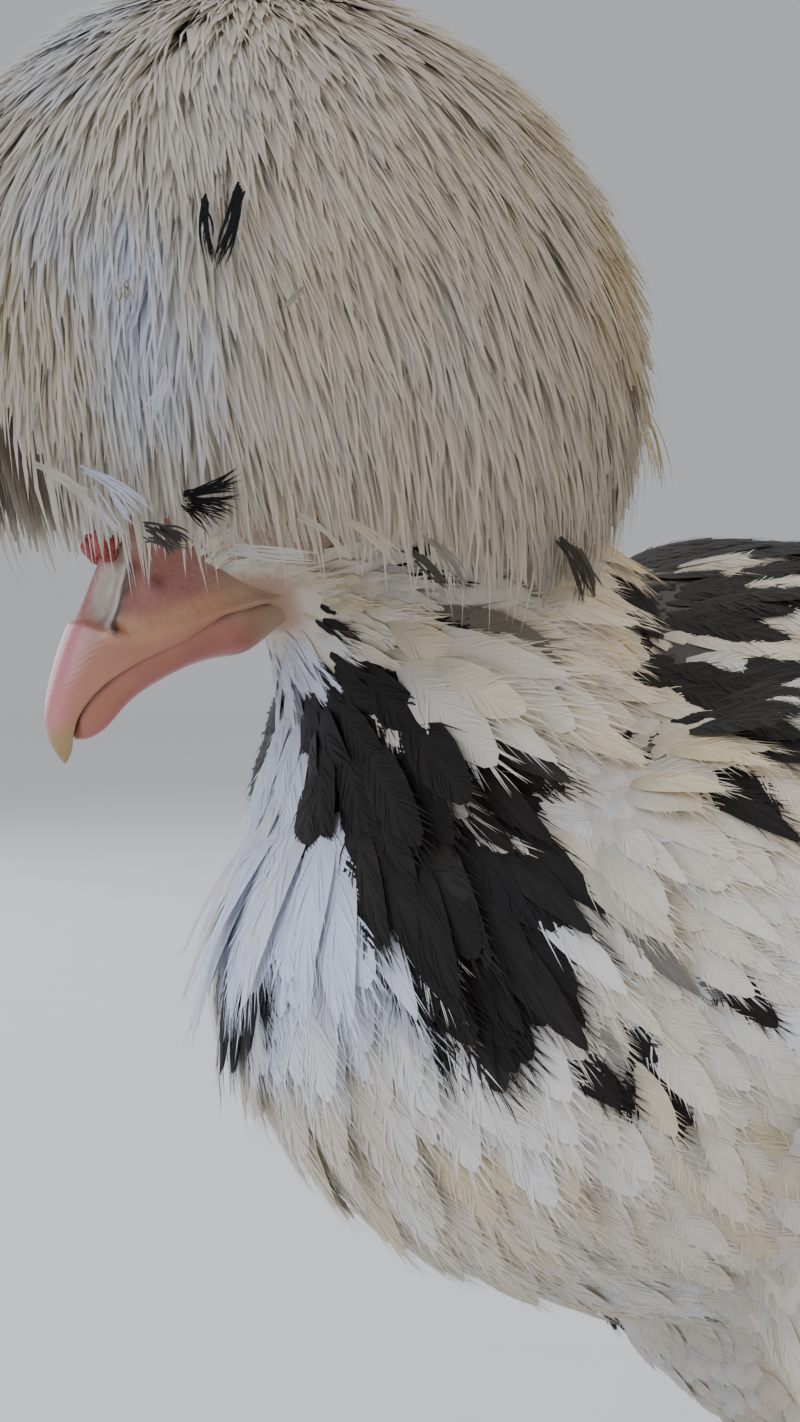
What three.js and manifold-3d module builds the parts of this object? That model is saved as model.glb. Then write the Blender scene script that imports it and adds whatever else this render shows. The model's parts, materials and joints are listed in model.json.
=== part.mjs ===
// A young Polish crested chicken, life size, standing with its neck drawn in and its bill lowered.
// Millimetres, +Z up. The bird faces -Y and its left side is +X. The origin is on the floor, under the
// middle of the bird's box. Each part of the body is one closed solid in a mesh of its own, and parts
// that touch keep GAP between them.
import * as THREE from "three";
import { mergeVertices } from "three/addons/utils/BufferGeometryUtils.js";
import Module from "manifold-3d";

const wasm = await Module();
wasm.setup();

const { clamp, lerp, smoothstep, euclideanModulo } = THREE.MathUtils;
const DEGREE = Math.PI / 180;
const GAP = 0.3;

// Driving sizes. The soles are at FLOOR here, and the last lines of the file bring them to zero.
const FLOOR = 8;
const BODY = { front: -46.5, fullest: -2, back: 63.5, half: [34, 35.5, 34.5], middle: 113 };
const NECK = { foot: [0, -24, 112], half: 21.5 };
const HEAD = { at: [0, -40.5, 152], pitch: 30 * DEGREE, half: [11.6, 12.2, 11.3] };
const EYE = { radius: 4, at: [8.3, -4.5, 1.5] };
const CREST = { radius: 33.5, seat: 14, featherHalf: 7.6, tilt: 0.12, seed: 7 };
const WING = { wrist: -31, tip: 58, low: -24 * DEGREE, high: 48 * DEGREE, tilt: -0.17 };
const TAIL = { base: [0, 55.5, 125], length: 60, lift: 34 * DEGREE, fan: 24 * DEGREE, tilt: 0.12 };
const LEG = { hip: [16, -3, 101], hock: [16.5, 20, 57], foot: [17.5, 1, FLOOR + 5.5], thick: 2.9 };

const FEATHER_WHITE = { color: 0xd8d0c0, roughness: 0.9, metalness: 0 };
const FEATHER_BLACK = { color: 0x26231f, roughness: 0.8, metalness: 0 };
const HORN = { color: 0xc08a74, roughness: 0.45, metalness: 0 };
const COMB_RED = { color: 0xa03a2c, roughness: 0.6, metalness: 0 };
const SLATE = { color: 0x8b8f96, roughness: 0.55, metalness: 0 };
const CLAW = { color: 0xb3a48f, roughness: 0.4, metalness: 0 };
const EYE_BROWN = { color: 0x2a1710, roughness: 0.1, metalness: 0 };
const SKIN = { color: 0xb98a78, roughness: 0.7, metalness: 0 };

// Solids and meshes
function solid(geometry) {
  geometry.deleteAttribute("normal");
  geometry.deleteAttribute("uv");
  const merged = mergeVertices(geometry, 1e-4);
  return new wasm.Manifold(
    new wasm.Mesh({
      numProp: 3,
      vertProperties: new Float32Array(merged.attributes.position.array),
      triVerts: new Uint32Array(merged.index.array),
    }),
  );
}

const joined = (pieces) => pieces.reduce((whole, piece) => whole.add(piece));

const largest = (manifold) => manifold.decompose().reduce((a, b) => (a.volume() > b.volume() ? a : b));

const bird = new THREE.Group();

function place(name, manifold, finish) {
  const body = largest(manifold).getMesh();
  const geometry = new THREE.BufferGeometry();
  geometry.setAttribute("position", new THREE.BufferAttribute(body.vertProperties, 3));
  geometry.setIndex(new THREE.BufferAttribute(body.triVerts, 1));
  geometry.computeVertexNormals();
  const mesh = new THREE.Mesh(geometry, new THREE.MeshStandardMaterial(finish));
  mesh.name = name;
  bird.add(mesh);
}

function ball(at, half, sides = 14, rings = 10) {
  const geometry = new THREE.SphereGeometry(1, sides, rings);
  geometry.scale(...half).translate(...at);
  return solid(geometry);
}

// A closed body round a line of sections, from a bent sphere. A section is its centre and its half
// sizes: [x, y, z, half width, half size up, half size down]. The first and last close it to a point,
// and grow is how much thicker it comes out on every side.
function loft(sections, sides, rings, grow = 0, across = new THREE.Vector3(1, 0, 0)) {
  const centres = new THREE.CatmullRomCurve3(sections.map((s) => new THREE.Vector3(...s.slice(0, 3))));
  const sizes = new THREE.CatmullRomCurve3(sections.map((s) => new THREE.Vector3(...s.slice(3))));
  const geometry = new THREE.SphereGeometry(1, sides, rings);
  const position = geometry.attributes.position;
  const p = new THREE.Vector3();
  for (let i = 0; i < position.count; i++) {
    p.fromBufferAttribute(position, i);
    const t = Math.acos(clamp(p.y, -1, 1)) / Math.PI;
    const along = centres.getTangent(t);
    const side = across.clone().addScaledVector(along, -across.dot(along)).normalize();
    const up = side.clone().cross(along);
    const size = sizes.getPoint(t);
    const ring = Math.hypot(p.x, p.z);
    const at = centres.getPoint(t);
    if (ring < 1e-6) {
      at.addScaledVector(along, p.y > 0 ? -grow : grow);
    } else {
      const height = Math.max(p.z < 0 ? size.y : size.z, 0);
      at.addScaledVector(side, ((Math.max(size.x, 0) + grow) * p.x) / ring);
      at.addScaledVector(up, (-(height + grow) * p.z) / ring);
    }
    position.setXYZ(i, at.x, at.y, at.z);
  }
  return solid(geometry);
}

// Sections of an egg along Y: fullest at one place, with a front and a back of their own lengths,
// and a centre line that climbs towards both ends. A higher taper makes an end more pointed.
function eggSize(egg, y) {
  const end = y < egg.fullest ? egg.ahead : egg.behind;
  const u = clamp((y - egg.fullest) / (end.y - egg.fullest), 0, 1);
  const full = (1 - u * u) ** end.taper;
  return { z: egg.z + end.rise * u * u, half: egg.half.map((size) => size * full) };
}

function eggSections(egg, steps) {
  const sections = [];
  for (let i = 0; i <= steps; i++) {
    const turn = Math.cos((Math.PI * i) / steps);
    const end = turn > 0 ? egg.ahead : egg.behind;
    const y = egg.fullest + (end.y - egg.fullest) * Math.abs(turn);
    const { z, half } = eggSize(egg, y);
    sections.push([0, y, z, ...half]);
  }
  return sections;
}

// A flat feather that bends: a diamond section swept along points, with its face towards the normals
// and one edge lifted by the tilt, so that a row laps like shingles. Both faces are split alike.
function vane(points, normals, halfWidths, halfThicks, tilt) {
  const last = points.length - 1;
  const positions = [...points[0].toArray()];
  for (let i = 1; i < last; i++) {
    const along = points[i + 1].clone().sub(points[i - 1]).normalize();
    const side = normals[i].clone().cross(along).normalize().applyAxisAngle(along, tilt);
    const face = along.clone().cross(side).normalize();
    for (const [s, f] of [[-1, 0], [0, 1], [1, 0], [0, -1]]) {
      const corner = points[i].clone();
      corner.addScaledVector(side, s * halfWidths[i]).addScaledVector(face, f * halfThicks[i]);
      positions.push(...corner.toArray());
    }
  }
  positions.push(...points[last].toArray());
  const index = [];
  const corner = (ring, k) => 1 + (ring - 1) * 4 + (k % 4);
  const end = 1 + (last - 1) * 4;
  for (let k = 0; k < 4; k++) {
    index.push(0, corner(1, k), corner(1, k + 1));
    index.push(end, corner(last - 1, k + 1), corner(last - 1, k));
    for (let i = 1; i < last - 1; i++) {
      const [a, b, c, d] = [corner(i, k), corner(i, k + 1), corner(i + 1, k), corner(i + 1, k + 1)];
      if (k % 2 === 0) index.push(a, d, b, a, c, d);
      else index.push(a, c, b, b, c, d);
    }
  }
  const geometry = new THREE.BufferGeometry();
  geometry.setAttribute("position", new THREE.Float32BufferAttribute(positions, 3));
  geometry.setIndex(index);
  return solid(geometry);
}

// A feather's outline: narrow at the quill, broad along its middle, round at the tip
const STATIONS = [0, 0.2, 0.52, 0.84, 1];
const BREADTH = [0, 0.55, 1, 0.85, 0];
const THICKNESS = [0, 0.6, 0.55, 0.45, 0];

function feather(path, facing, halfWidth, tilt) {
  const points = STATIONS.map(path);
  const normals = STATIONS.map(facing);
  const halfWidths = BREADTH.map((b) => b * halfWidth);
  return vane(points, normals, halfWidths, THICKNESS, tilt);
}

// Repeatable draws between 0 and 1
function random(seed) {
  let state = seed;
  return () => {
    state = (state * 16807) % 2147483647;
    return state / 2147483647;
  };
}

// Torso: deep and full at the breast, narrowing to the rump, with the coat's depth in it
const TORSO = {
  fullest: BODY.fullest,
  z: BODY.middle,
  half: BODY.half,
  ahead: { y: BODY.front, rise: 8.8, taper: 0.5 },
  behind: { y: BODY.back, rise: 12.5, taper: 0.6 },
};
const torso = (grow = 0) => loft(eggSections(TORSO, 12), 24, 18, grow);
place("torso", torso(), FEATHER_BLACK);

// Neck: short and thick, drawn down between the shoulders. A row is its place behind the head and
// over the neck's foot, and its shares of the neck's half width.
const NECK_ROWS = [
  [0, 0, 0, 0, 0],
  [0, 4, 0.75, 0.56, 0.65],
  [-1.5, 14, 1, 0.81, 0.93],
  [-3.5, 25, 0.93, 0.77, 0.79],
  [-7.5, 34.5, 0.72, 0.65, 0.6],
  [-10.5, 40, 0.47, 0.44, 0.42],
  [-12, 43, 0, 0, 0],
];
const neckSections = NECK_ROWS.map(([forward, up, ...shares]) => [
  NECK.foot[0],
  NECK.foot[1] + forward,
  NECK.foot[2] + up,
  ...shares.map((share) => share * NECK.half),
]);
const neck = (grow = 0) => loft(neckSections, 18, 9, grow);

// Head, in its own frame: the bill points along -Y and the crown along +Z
const headFrame = new THREE.Matrix4()
  .makeTranslation(...HEAD.at)
  .multiply(new THREE.Matrix4().makeRotationX(HEAD.pitch));
const inHead = (manifold) => manifold.transform(headFrame.elements);

const SKULL = {
  fullest: 3,
  z: 0,
  half: HEAD.half,
  ahead: { y: -14.6, rise: -0.6, taper: 0.48 },
  behind: { y: 15.5, rise: -1, taper: 0.5 },
};
const skull = (grow = 0) => inHead(loft(eggSections(SKULL, 10), 16, 11, grow));

// Bill: the upper half is deep and hooked, with the raised nostrils of a crested bird
const UPPER_BILL = [
  [0, -29.1, -9.1, 0, 0, 0],
  [0, -28.2, -7.2, 1.1, 0.9, 0.7],
  [0, -26.9, -5.2, 1.9, 1.4, 1.2],
  [0, -25, -3.3, 2.9, 2.1, 1.9],
  [0, -22.5, -2.1, 3.7, 2.9, 2.6],
  [0, -20, -1.4, 4.3, 3.7, 3.3],
  [0, -17, -1, 5, 4.7, 4],
  [0, -13, -1, 5.6, 5.5, 3.7],
  [0, -11.5, -1, 0, 0, 0],
];
const LOWER_BILL = [
  [0, -27.5, -7.9, 0, 0, 0],
  [0, -25.9, -7, 1.9, 1.2, 1.1],
  [0, -23.5, -6.2, 2.9, 1.3, 1.2],
  [0, -20, -5.9, 3.9, 1.2, 1.3],
  [0, -16, -6.2, 4.9, 1.2, 1.3],
  [0, -12.4, -6.8, 5.9, 1.5, 1.9],
  [0, -9, -7, 6.5, 1.6, 2.1],
  [0, -7.6, -7, 0, 0, 0],
];
const upperBill = (grow = 0) => loft(UPPER_BILL, 12, 13, grow);
const lowerBill = (grow = 0) => loft(LOWER_BILL, 10, 10, grow);

const BOTH = [1, -1];
const nostrilRims = (grow = 0) => {
  const half = [1.7, 1.3, 2.7].map((size) => size + grow);
  return joined(BOTH.map((s) => ball([s * 2.4, -20.2, 1.5], half, 8, 6)));
};
const nostrilPits = joined(BOTH.map((s) => ball([s * 5.3, -17.3, 0.3], [1.3, 0.9, 1.1], 8, 6)));
const rimCreases = joined(BOTH.map((s) => ball([s * 4.9, -18.9, 0.6], [0.9, 0.5, 2], 8, 6)));
const bill = (grow = 0) => inHead(joined([upperBill(grow), lowerBill(grow), nostrilRims(grow)]));
const upperHalf = joined([upperBill(), nostrilRims()]).subtract(nostrilPits).subtract(rimCreases);
place("bill_upper", inHead(upperHalf).subtract(skull(GAP)), HORN);
place("bill_lower", inHead(lowerBill().subtract(upperBill(GAP))).subtract(skull(GAP)), HORN);

// Comb: two small horns of flesh in a V before the crest
const combBody = (grow = 0) => {
  const half = [1.6, 2, 2.3].map((size) => size + grow);
  return inHead(joined(BOTH.map((s) => ball([s * 1.5, -19, 4.8], half, 8, 6))));
};
place("comb", combBody().subtract(skull(GAP)).subtract(bill(GAP)), COMB_RED);

// Eyes, their lids in the head, and the lobes below the ears
const eyeCentre = (s, out = 0) => [s * (EYE.at[0] + out), EYE.at[1], EYE.at[2]];
const eyeBall = (s, grow = 0) => {
  const radius = EYE.radius + grow;
  return inHead(ball(eyeCentre(s), [radius, radius, radius], 12, 8));
};
const LID = { thick: 0.75, out: 2 };
const lid = (s) => {
  const ring = new THREE.TorusGeometry(EYE.radius * 0.86, LID.thick, 5, 10);
  ring.rotateY(Math.PI / 2).scale(1, 1.12, 0.95).translate(...eyeCentre(s, LID.out));
  return inHead(solid(ring));
};
const lobe = (s, grow = 0) => {
  const half = [1.5, 2.6, 3.1].map((size) => size + grow);
  return inHead(ball([s * 10.4, 4.6, -3.6], half, 8, 6));
};
for (const [s, hand] of [[1, "left"], [-1, "right"]]) {
  place(`eye_${hand}`, eyeBall(s), EYE_BROWN);
  place(`ear_lobe_${hand}`, lobe(s).subtract(skull(GAP)), SKIN);
}
const face = joined([skull(), lid(1), lid(-1)]).subtract(eyeBall(1, GAP)).subtract(eyeBall(-1, GAP));
place("head", face, FEATHER_WHITE);
const wholeHead = joined([skull(GAP), bill(GAP), ...BOTH.flatMap((s) => [eyeBall(s, GAP), lobe(s, GAP)])]);
place("neck", neck().subtract(torso(GAP)).subtract(wholeHead), FEATHER_WHITE);

// Crest: feathers grow from a cushion on the skull's knob and fall to every side as a globe.
// Directions are a polar angle from straight up and an angle round from the front.
const knob = new THREE.Vector3(...HEAD.at).add(new THREE.Vector3(0, -3.3, 9));
const cushion = new THREE.Vector3(...HEAD.at).add(new THREE.Vector3(0, -3.5, 12.5));
function crestWay(polar, around) {
  const out = Math.sin(polar);
  return new THREE.Vector3(out * Math.sin(around), -out * Math.cos(around), Math.cos(polar));
}
const crestPoint = (polar, around, radius) => knob.clone().addScaledVector(crestWay(polar, around), radius);

// The lowest polar angle that the crest hangs to: short over the bill and the nape, long at the sides
function hang(around) {
  const off = Math.abs(euclideanModulo(around / DEGREE + 180, 360) - 180);
  return (95 + 25 * smoothstep(off, 30, 55) - 16 * smoothstep(off, 140, 168)) * DEGREE;
}

function crestFeather(around, rootPolar, tipPolar, radius, halfWidth) {
  const root = cushion.clone().addScaledVector(crestWay(rootPolar, around), CREST.seat - 4);
  const rise = crestPoint(rootPolar * 0.9, around, radius * 0.86);
  const over = crestPoint(lerp(rootPolar, tipPolar, 0.4), around, radius * 1.06);
  const line = new THREE.CubicBezierCurve3(root, rise, over, crestPoint(tipPolar, around, radius));
  const path = (s) => line.getPoint(s);
  const facing = (s) => line.getPoint(s).sub(knob).normalize();
  return feather(path, facing, halfWidth, CREST.tilt);
}

// Tiers from under to over. Root and tip are shares of the way down to where the crest hangs, and
// lift is how far out a tier lies from the globe.
const CREST_TIERS = [
  { root: 0.7, tip: 1, count: 13, lift: -3 },
  { root: 0.58, tip: 0.9, count: 14, lift: -2.2 },
  { root: 0.45, tip: 0.76, count: 12, lift: -1.5 },
  { root: 0.32, tip: 0.6, count: 10, lift: -0.8 },
  { root: 0.19, tip: 0.44, count: 7, lift: -0.2 },
  { root: 0.07, tip: 0.27, count: 4, lift: 0.2 },
  { root: -0.1, tip: 0.17, count: 3, lift: 0.6 },
];
const crestRandom = random(CREST.seed);
const vary = (share) => 1 + (crestRandom() - 0.5) * 2 * share;
const crestPieces = [ball(cushion.toArray(), [CREST.seat - 1, CREST.seat, CREST.seat - 2.5], 16, 11)];
for (const tier of CREST_TIERS) {
  for (let i = 0; i < tier.count; i++) {
    const shift = 0.5 * (tier.count % 2) + 0.25 * (crestRandom() - 0.5);
    const around = ((i + shift) / tier.count) * 2 * Math.PI;
    const down = hang(around);
    const radius = (CREST.radius + tier.lift) * vary(0.015);
    const tip = down * tier.tip * vary(0.03);
    crestPieces.push(crestFeather(around, down * tier.root, tip, radius, CREST.featherHalf * vary(0.1)));
  }
}
const eyeRoom = BOTH.map((s) => inHead(ball(eyeCentre(s, 1.5), [7, 6.5, 6.5], 12, 8)));
const underCrest = joined([torso(GAP), neck(GAP), wholeHead, combBody(GAP), ...eyeRoom]);
place("crest", joined(crestPieces).subtract(underCrest), FEATHER_WHITE);

// Wings: folded on the torso's side. A place on a wing is its distance along the body, its angle up
// the side and its height off the torso, and behind LEAVES the wing runs straight on past the rump.
const LEAVES = 14;
function wingPoint(y, angle, off) {
  const past = Math.max(0, y - LEAVES);
  const { z, half } = eggSize(TORSO, Math.min(y, LEAVES));
  return new THREE.Vector3(
    (half[0] + off - past * 0.2) * Math.cos(angle),
    y,
    z + past * 0.16 + (half[1] + off - past * 0.25) * Math.sin(angle),
  );
}

function wingFeather(root, tip, halfWidth) {
  const at = (s) => [
    lerp(root.y, tip.y, s),
    lerp(root.angle, tip.angle, s),
    lerp(root.off, tip.off, Math.sin((s * Math.PI) / 2)),
  ];
  const facing = (s) => {
    const [y, angle] = at(s);
    return wingPoint(y, angle, 1).sub(wingPoint(y, angle, 0)).normalize();
  };
  return feather((s) => wingPoint(...at(s)), facing, halfWidth, WING.tilt);
}

const WING_CORE = { half: 25, thick: 3.4 };
function wingCore() {
  const geometry = new THREE.SphereGeometry(1, 14, 11);
  const position = geometry.attributes.position;
  const [middle, reach] = [(WING.low + WING.high) / 2, (WING.high - WING.low) / 2];
  for (let i = 0; i < position.count; i++) {
    const [a, along, out] = [position.getX(i), position.getY(i), position.getZ(i)];
    const y = WING.wrist + WING_CORE.half * (1 - along);
    const p = wingPoint(y, middle + reach * a, 0.8 + WING_CORE.thick * out);
    position.setXYZ(i, p.x, p.y, p.z);
  }
  return solid(geometry);
}

// Rows from under to over: flight feathers of the hand and of the arm, then two rows of coverts.
// Each range runs from the row's lowest feather to its highest. Roots and tips are places along the
// body, up are angles up its side, and off is the height off the torso at the root and at the tip.
const WING_ROWS = [
  { count: 6, half: 5, root: [-2, 6], tip: [WING.tip, 46], up: [-16, -2], tipUp: [-15, 6], off: [0.6, 2] },
  { count: 6, half: 6.6, root: [-10, 8], tip: [30, 42], up: [-18, 36], tipUp: [-17, 34], off: [1.5, 4] },
  { count: 5, half: 7.2, root: [-21, -8], tip: [6, 15], up: [-20, 38], tipUp: [-18, 37], off: [2.2, 5.4] },
  { count: 5, half: 7, root: [-27, -18], tip: [-9, -3], up: [-18, 36], tipUp: [-18, 38], off: [2.6, 6.6] },
];
const wingPieces = [wingCore()];
for (const row of WING_ROWS) {
  for (let i = 0; i < row.count; i++) {
    const along = (range) => lerp(range[0], range[1], i / (row.count - 1));
    const root = { y: along(row.root), angle: along(row.up) * DEGREE, off: row.off[0] };
    const tip = { y: along(row.tip), angle: along(row.tipUp) * DEGREE, off: row.off[1] };
    wingPieces.push(wingFeather(root, tip, row.half));
  }
}
const leftWing = joined(wingPieces);

// Legs: a feathered thigh, a scaled shank, and four toes on flats with their claws
const mirrored = (sections, s) => sections.map(([x, ...rest]) => [s * x, ...rest]);
const [HOCK_X, HOCK_Y, HOCK_Z] = LEG.hock;
const [FOOT_X, FOOT_Y, FOOT_Z] = LEG.foot;
const THIGH_SECTIONS = [
  [...LEG.hip, 0, 0, 0],
  [17, -1.5, 97, 11, 13, 13],
  [18, 2.5, 88, 13, 15, 14.5],
  [18, 8, 78, 10.5, 12, 12],
  [17.5, 14, 68, 7, 7.6, 7.4],
  [HOCK_X + 0.3, HOCK_Y - 1.5, HOCK_Z + 3.6, 4.6, 4.8, 4.8],
  [HOCK_X, HOCK_Y, HOCK_Z + 1, 0, 0, 0],
];
const thigh = (s, grow = 0) => loft(mirrored(THIGH_SECTIONS, s), 16, 12, grow);

const SCUTES = 8;
const SCUTE_RISE = 0.28;
function shankSections() {
  const rows = [
    [HOCK_X, HOCK_Y + 0.3, HOCK_Z + 4.5, 0, 0, 0],
    [HOCK_X, HOCK_Y, HOCK_Z + 3.4, 3.4, 3.7, 3.4],
    [HOCK_X, HOCK_Y, HOCK_Z, 4, 4.6, 4],
  ];
  for (let i = 1; i < SCUTES * 2; i++) {
    const t = i / (SCUTES * 2);
    const plate = i % 2 ? SCUTE_RISE : 0;
    const centre = [lerp(HOCK_X, FOOT_X, t), lerp(HOCK_Y, FOOT_Y, t), lerp(HOCK_Z, FOOT_Z, t)];
    rows.push([...centre, LEG.thick, LEG.thick + 0.3 + plate * 0.3, LEG.thick + 0.1 + plate]);
  }
  rows.push(
    [FOOT_X, FOOT_Y, FOOT_Z, 4.2, 4.4, 4.6],
    [FOOT_X, FOOT_Y, FLOOR + 1.5, 4, 4.2, 4.4],
    [FOOT_X, FOOT_Y, FLOOR + 0.2, 0, 0, 0],
  );
  return rows;
}
const shank = (s, grow = 0) => loft(mirrored(shankSections(), s), 9, SCUTES * 2 + 5, grow);

const ground = () => {
  const slab = new THREE.BoxGeometry(400, 400, 40);
  slab.translate(0, 0, FLOOR - 20);
  return solid(slab);
};

// Toes: angle from straight ahead (outwards is positive), length, radius at the base and how many
// scutes and pads it is ringed by
const TOES = [
  { name: "inner", angle: -26, length: 27, radius: 2.9, pads: 3 },
  { name: "middle", angle: 2, length: 37, radius: 3.1, pads: 3 },
  { name: "outer", angle: 38, length: 29, radius: 2.8, pads: 3 },
  { name: "hind", angle: 192, length: 13, radius: 2.4, pads: 2 },
];
const toeWay = (toe) => [Math.sin(toe.angle * DEGREE), -Math.cos(toe.angle * DEGREE)];
const toeAcross = (toe, s) => new THREE.Vector3(-toeWay(toe)[1], s * toeWay(toe)[0], 0);

function toeSections(toe) {
  const [dx, dy] = toeWay(toe);
  const at = (reach, z, radius) => [FOOT_X + dx * reach, FOOT_Y + dy * reach, z, radius, radius, radius];
  const rows = [];
  for (let i = 0; i <= toe.pads * 2; i++) {
    const t = i / (toe.pads * 2);
    const radius = toe.radius * lerp(1, 0.62, t) * (i % 2 ? 1.1 : 0.92);
    rows.push(at(lerp(1, toe.length, t), FLOOR + radius * 0.86, radius));
  }
  return [at(0, rows[0][2], 0), ...rows, at(toe.length + 1.4, rows.at(-1)[2], 0)];
}
const toeBody = (toe, s, grow = 0) =>
  loft(mirrored(toeSections(toe), s), 7, toe.pads * 2 + 3, grow, toeAcross(toe, s));

function claw(toe, s) {
  const [dx, dy] = toeWay(toe);
  const [x, y, , radius] = toeSections(toe).at(-2);
  const at = (reach, up, half) => {
    const size = half * radius;
    return [x + dx * reach, y + dy * reach, FLOOR + up * radius, size * 0.8, size, size];
  };
  const hook = [at(-1.5, 1, 0), at(-0.5, 1, 0.8), at(1.6, 1.15, 0.72), at(4, 0.95, 0.42), at(5.6, 0.42, 0)];
  return loft(mirrored(hook, s), 6, 5, 0, toeAcross(toe, s));
}

for (const [s, hand] of [[1, "left"], [-1, "right"]]) {
  place(`thigh_${hand}`, thigh(s).subtract(torso(GAP)), FEATHER_WHITE);
  place(`shank_${hand}`, shank(s).subtract(thigh(s, GAP)).subtract(ground()), SLATE);
  let taken = joined([shank(s, GAP), ground()]);
  for (const toe of TOES) {
    place(`toe_${toe.name}_${hand}`, toeBody(toe, s).subtract(taken), SLATE);
    taken = taken.add(toeBody(toe, s, GAP));
    place(`claw_${toe.name}_${hand}`, claw(toe, s).subtract(taken), CLAW);
  }
  const wing = s > 0 ? leftWing : leftWing.mirror([1, 0, 0]);
  const underWing = joined([torso(GAP), neck(GAP), thigh(s, GAP)]);
  place(`wing_${hand}`, wing.subtract(underWing), FEATHER_WHITE);
}

// Tail: a short stump with overlapping feathers in a narrow raised fan, and coverts above and below
const tailBase = new THREE.Vector3(...TAIL.base);
const TAIL_PAIRS = 5;
const TAIL_DROOP = 4;
function tailFeather({ spread, lift, length, halfWidth, rise }) {
  const [side, back] = [Math.sin(spread), Math.cos(spread)];
  const out = new THREE.Vector3(side, back * Math.cos(lift), back * Math.sin(lift));
  const face = new THREE.Vector3(side * 0.9, -Math.sin(lift), Math.cos(lift)).normalize();
  const root = tailBase.clone().addScaledVector(face, rise);
  const droop = (TAIL_DROOP * length) / TAIL.length;
  const path = (s) => root.clone().addScaledVector(out, length * s).addScaledVector(face, -droop * s * s);
  return feather(path, () => face, halfWidth, Math.sign(spread) * TAIL.tilt);
}

const TAIL_STUMP = [
  [0, 48, 121, 0, 0, 0],
  [0, 51, 122.5, 11, 10, 11],
  [0, 58, 126.5, 10.5, 9, 10],
  [0, 66, 131.5, 7, 5.5, 6.5],
  [0, 72, 135.5, 0, 0, 0],
];
const tailPieces = [loft(TAIL_STUMP, 14, 10)];
for (const s of BOTH) {
  for (let i = 0; i < TAIL_PAIRS; i++) {
    const t = (i + 0.5) / TAIL_PAIRS;
    tailPieces.push(
      tailFeather({
        spread: s * TAIL.fan * t,
        lift: TAIL.lift - 0.12 * t,
        length: TAIL.length * (1 - 0.16 * t),
        halfWidth: 6,
        rise: 2 - 4 * t + (s > 0 ? 0.6 : 0),
      }),
    );
  }
  const covert = { spread: s * TAIL.fan * 0.35, halfWidth: 7 };
  tailPieces.push(
    tailFeather({ ...covert, lift: TAIL.lift, length: TAIL.length * 0.55, rise: 4.4 }),
    tailFeather({ ...covert, lift: TAIL.lift - 0.2, length: TAIL.length * 0.5, rise: -5.4 }),
  );
}
place("tail", joined(tailPieces).subtract(torso(GAP)), FEATHER_BLACK);

// The origin is under the middle of the bird's box
const box = new THREE.Box3().setFromObject(bird);
bird.position.set(-(box.min.x + box.max.x) / 2, -(box.min.y + box.max.y) / 2, -box.min.z);

export default bird;
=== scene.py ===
# A young Polish crested chicken, life size: a cream white bird with black patches and a full globe of
# a crest, standing with its neck drawn in and its bill lowered, seen close up from its left.
import json
import math

import bmesh
import bpy
import numpy as np
from mathutils import Matrix, Vector, noise
from mathutils.bvhtree import BVHTree

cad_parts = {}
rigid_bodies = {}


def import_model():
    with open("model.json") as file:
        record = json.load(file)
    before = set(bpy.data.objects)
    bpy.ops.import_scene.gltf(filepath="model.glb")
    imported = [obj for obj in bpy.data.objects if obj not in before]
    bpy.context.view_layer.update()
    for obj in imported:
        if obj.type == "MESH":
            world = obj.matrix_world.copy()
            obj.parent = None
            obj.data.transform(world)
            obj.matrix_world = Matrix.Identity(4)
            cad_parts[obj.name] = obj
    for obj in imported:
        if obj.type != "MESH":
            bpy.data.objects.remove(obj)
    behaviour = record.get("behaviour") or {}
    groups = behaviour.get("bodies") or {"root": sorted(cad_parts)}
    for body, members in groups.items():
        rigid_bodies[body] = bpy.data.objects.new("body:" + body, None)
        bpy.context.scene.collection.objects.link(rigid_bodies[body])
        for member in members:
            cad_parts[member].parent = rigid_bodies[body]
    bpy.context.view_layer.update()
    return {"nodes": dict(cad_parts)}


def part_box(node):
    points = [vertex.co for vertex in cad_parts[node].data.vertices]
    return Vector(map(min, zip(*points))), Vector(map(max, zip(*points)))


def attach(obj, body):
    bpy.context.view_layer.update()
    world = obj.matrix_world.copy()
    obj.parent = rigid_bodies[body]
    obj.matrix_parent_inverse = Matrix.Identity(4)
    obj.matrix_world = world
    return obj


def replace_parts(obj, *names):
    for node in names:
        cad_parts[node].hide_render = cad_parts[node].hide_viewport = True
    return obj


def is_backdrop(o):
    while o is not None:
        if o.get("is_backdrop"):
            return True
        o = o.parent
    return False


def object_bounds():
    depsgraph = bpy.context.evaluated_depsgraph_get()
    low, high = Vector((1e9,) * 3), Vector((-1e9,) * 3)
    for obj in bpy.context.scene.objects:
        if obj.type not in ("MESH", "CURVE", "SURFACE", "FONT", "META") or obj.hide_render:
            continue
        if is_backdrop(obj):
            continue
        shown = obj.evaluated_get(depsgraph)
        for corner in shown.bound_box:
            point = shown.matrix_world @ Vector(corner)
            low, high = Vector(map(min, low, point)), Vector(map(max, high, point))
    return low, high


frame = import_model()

# VIEWPOINT. The head's own frame lies behind the middle of the eyes' corneas and is tipped down, and
# the camera stands an arm's length off, almost level, where the corner of the mouth falls on its pixel.
MM = 0.001
HEAD_TILT = math.radians(30)
EYES_IN_HEAD = (0, -3.88, 1.14)
GAPE_IN_HEAD = (5.5, -8.6, -6.0)
GAPE_PIXEL = (283, 598)
PICTURE = (800, 1422)
PIXELS_PER_MM = 12.7
VIEW_AZIMUTH = math.radians(66)
VIEW_RISE = math.radians(3)
VIEW_DISTANCE = 230
SENSOR = 36


def box_mm(node):
    low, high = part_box(node)
    return np.array(low) / MM, np.array(high) / MM


def middle_mm(node):
    return sum(box_mm(node)) / 2


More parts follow.
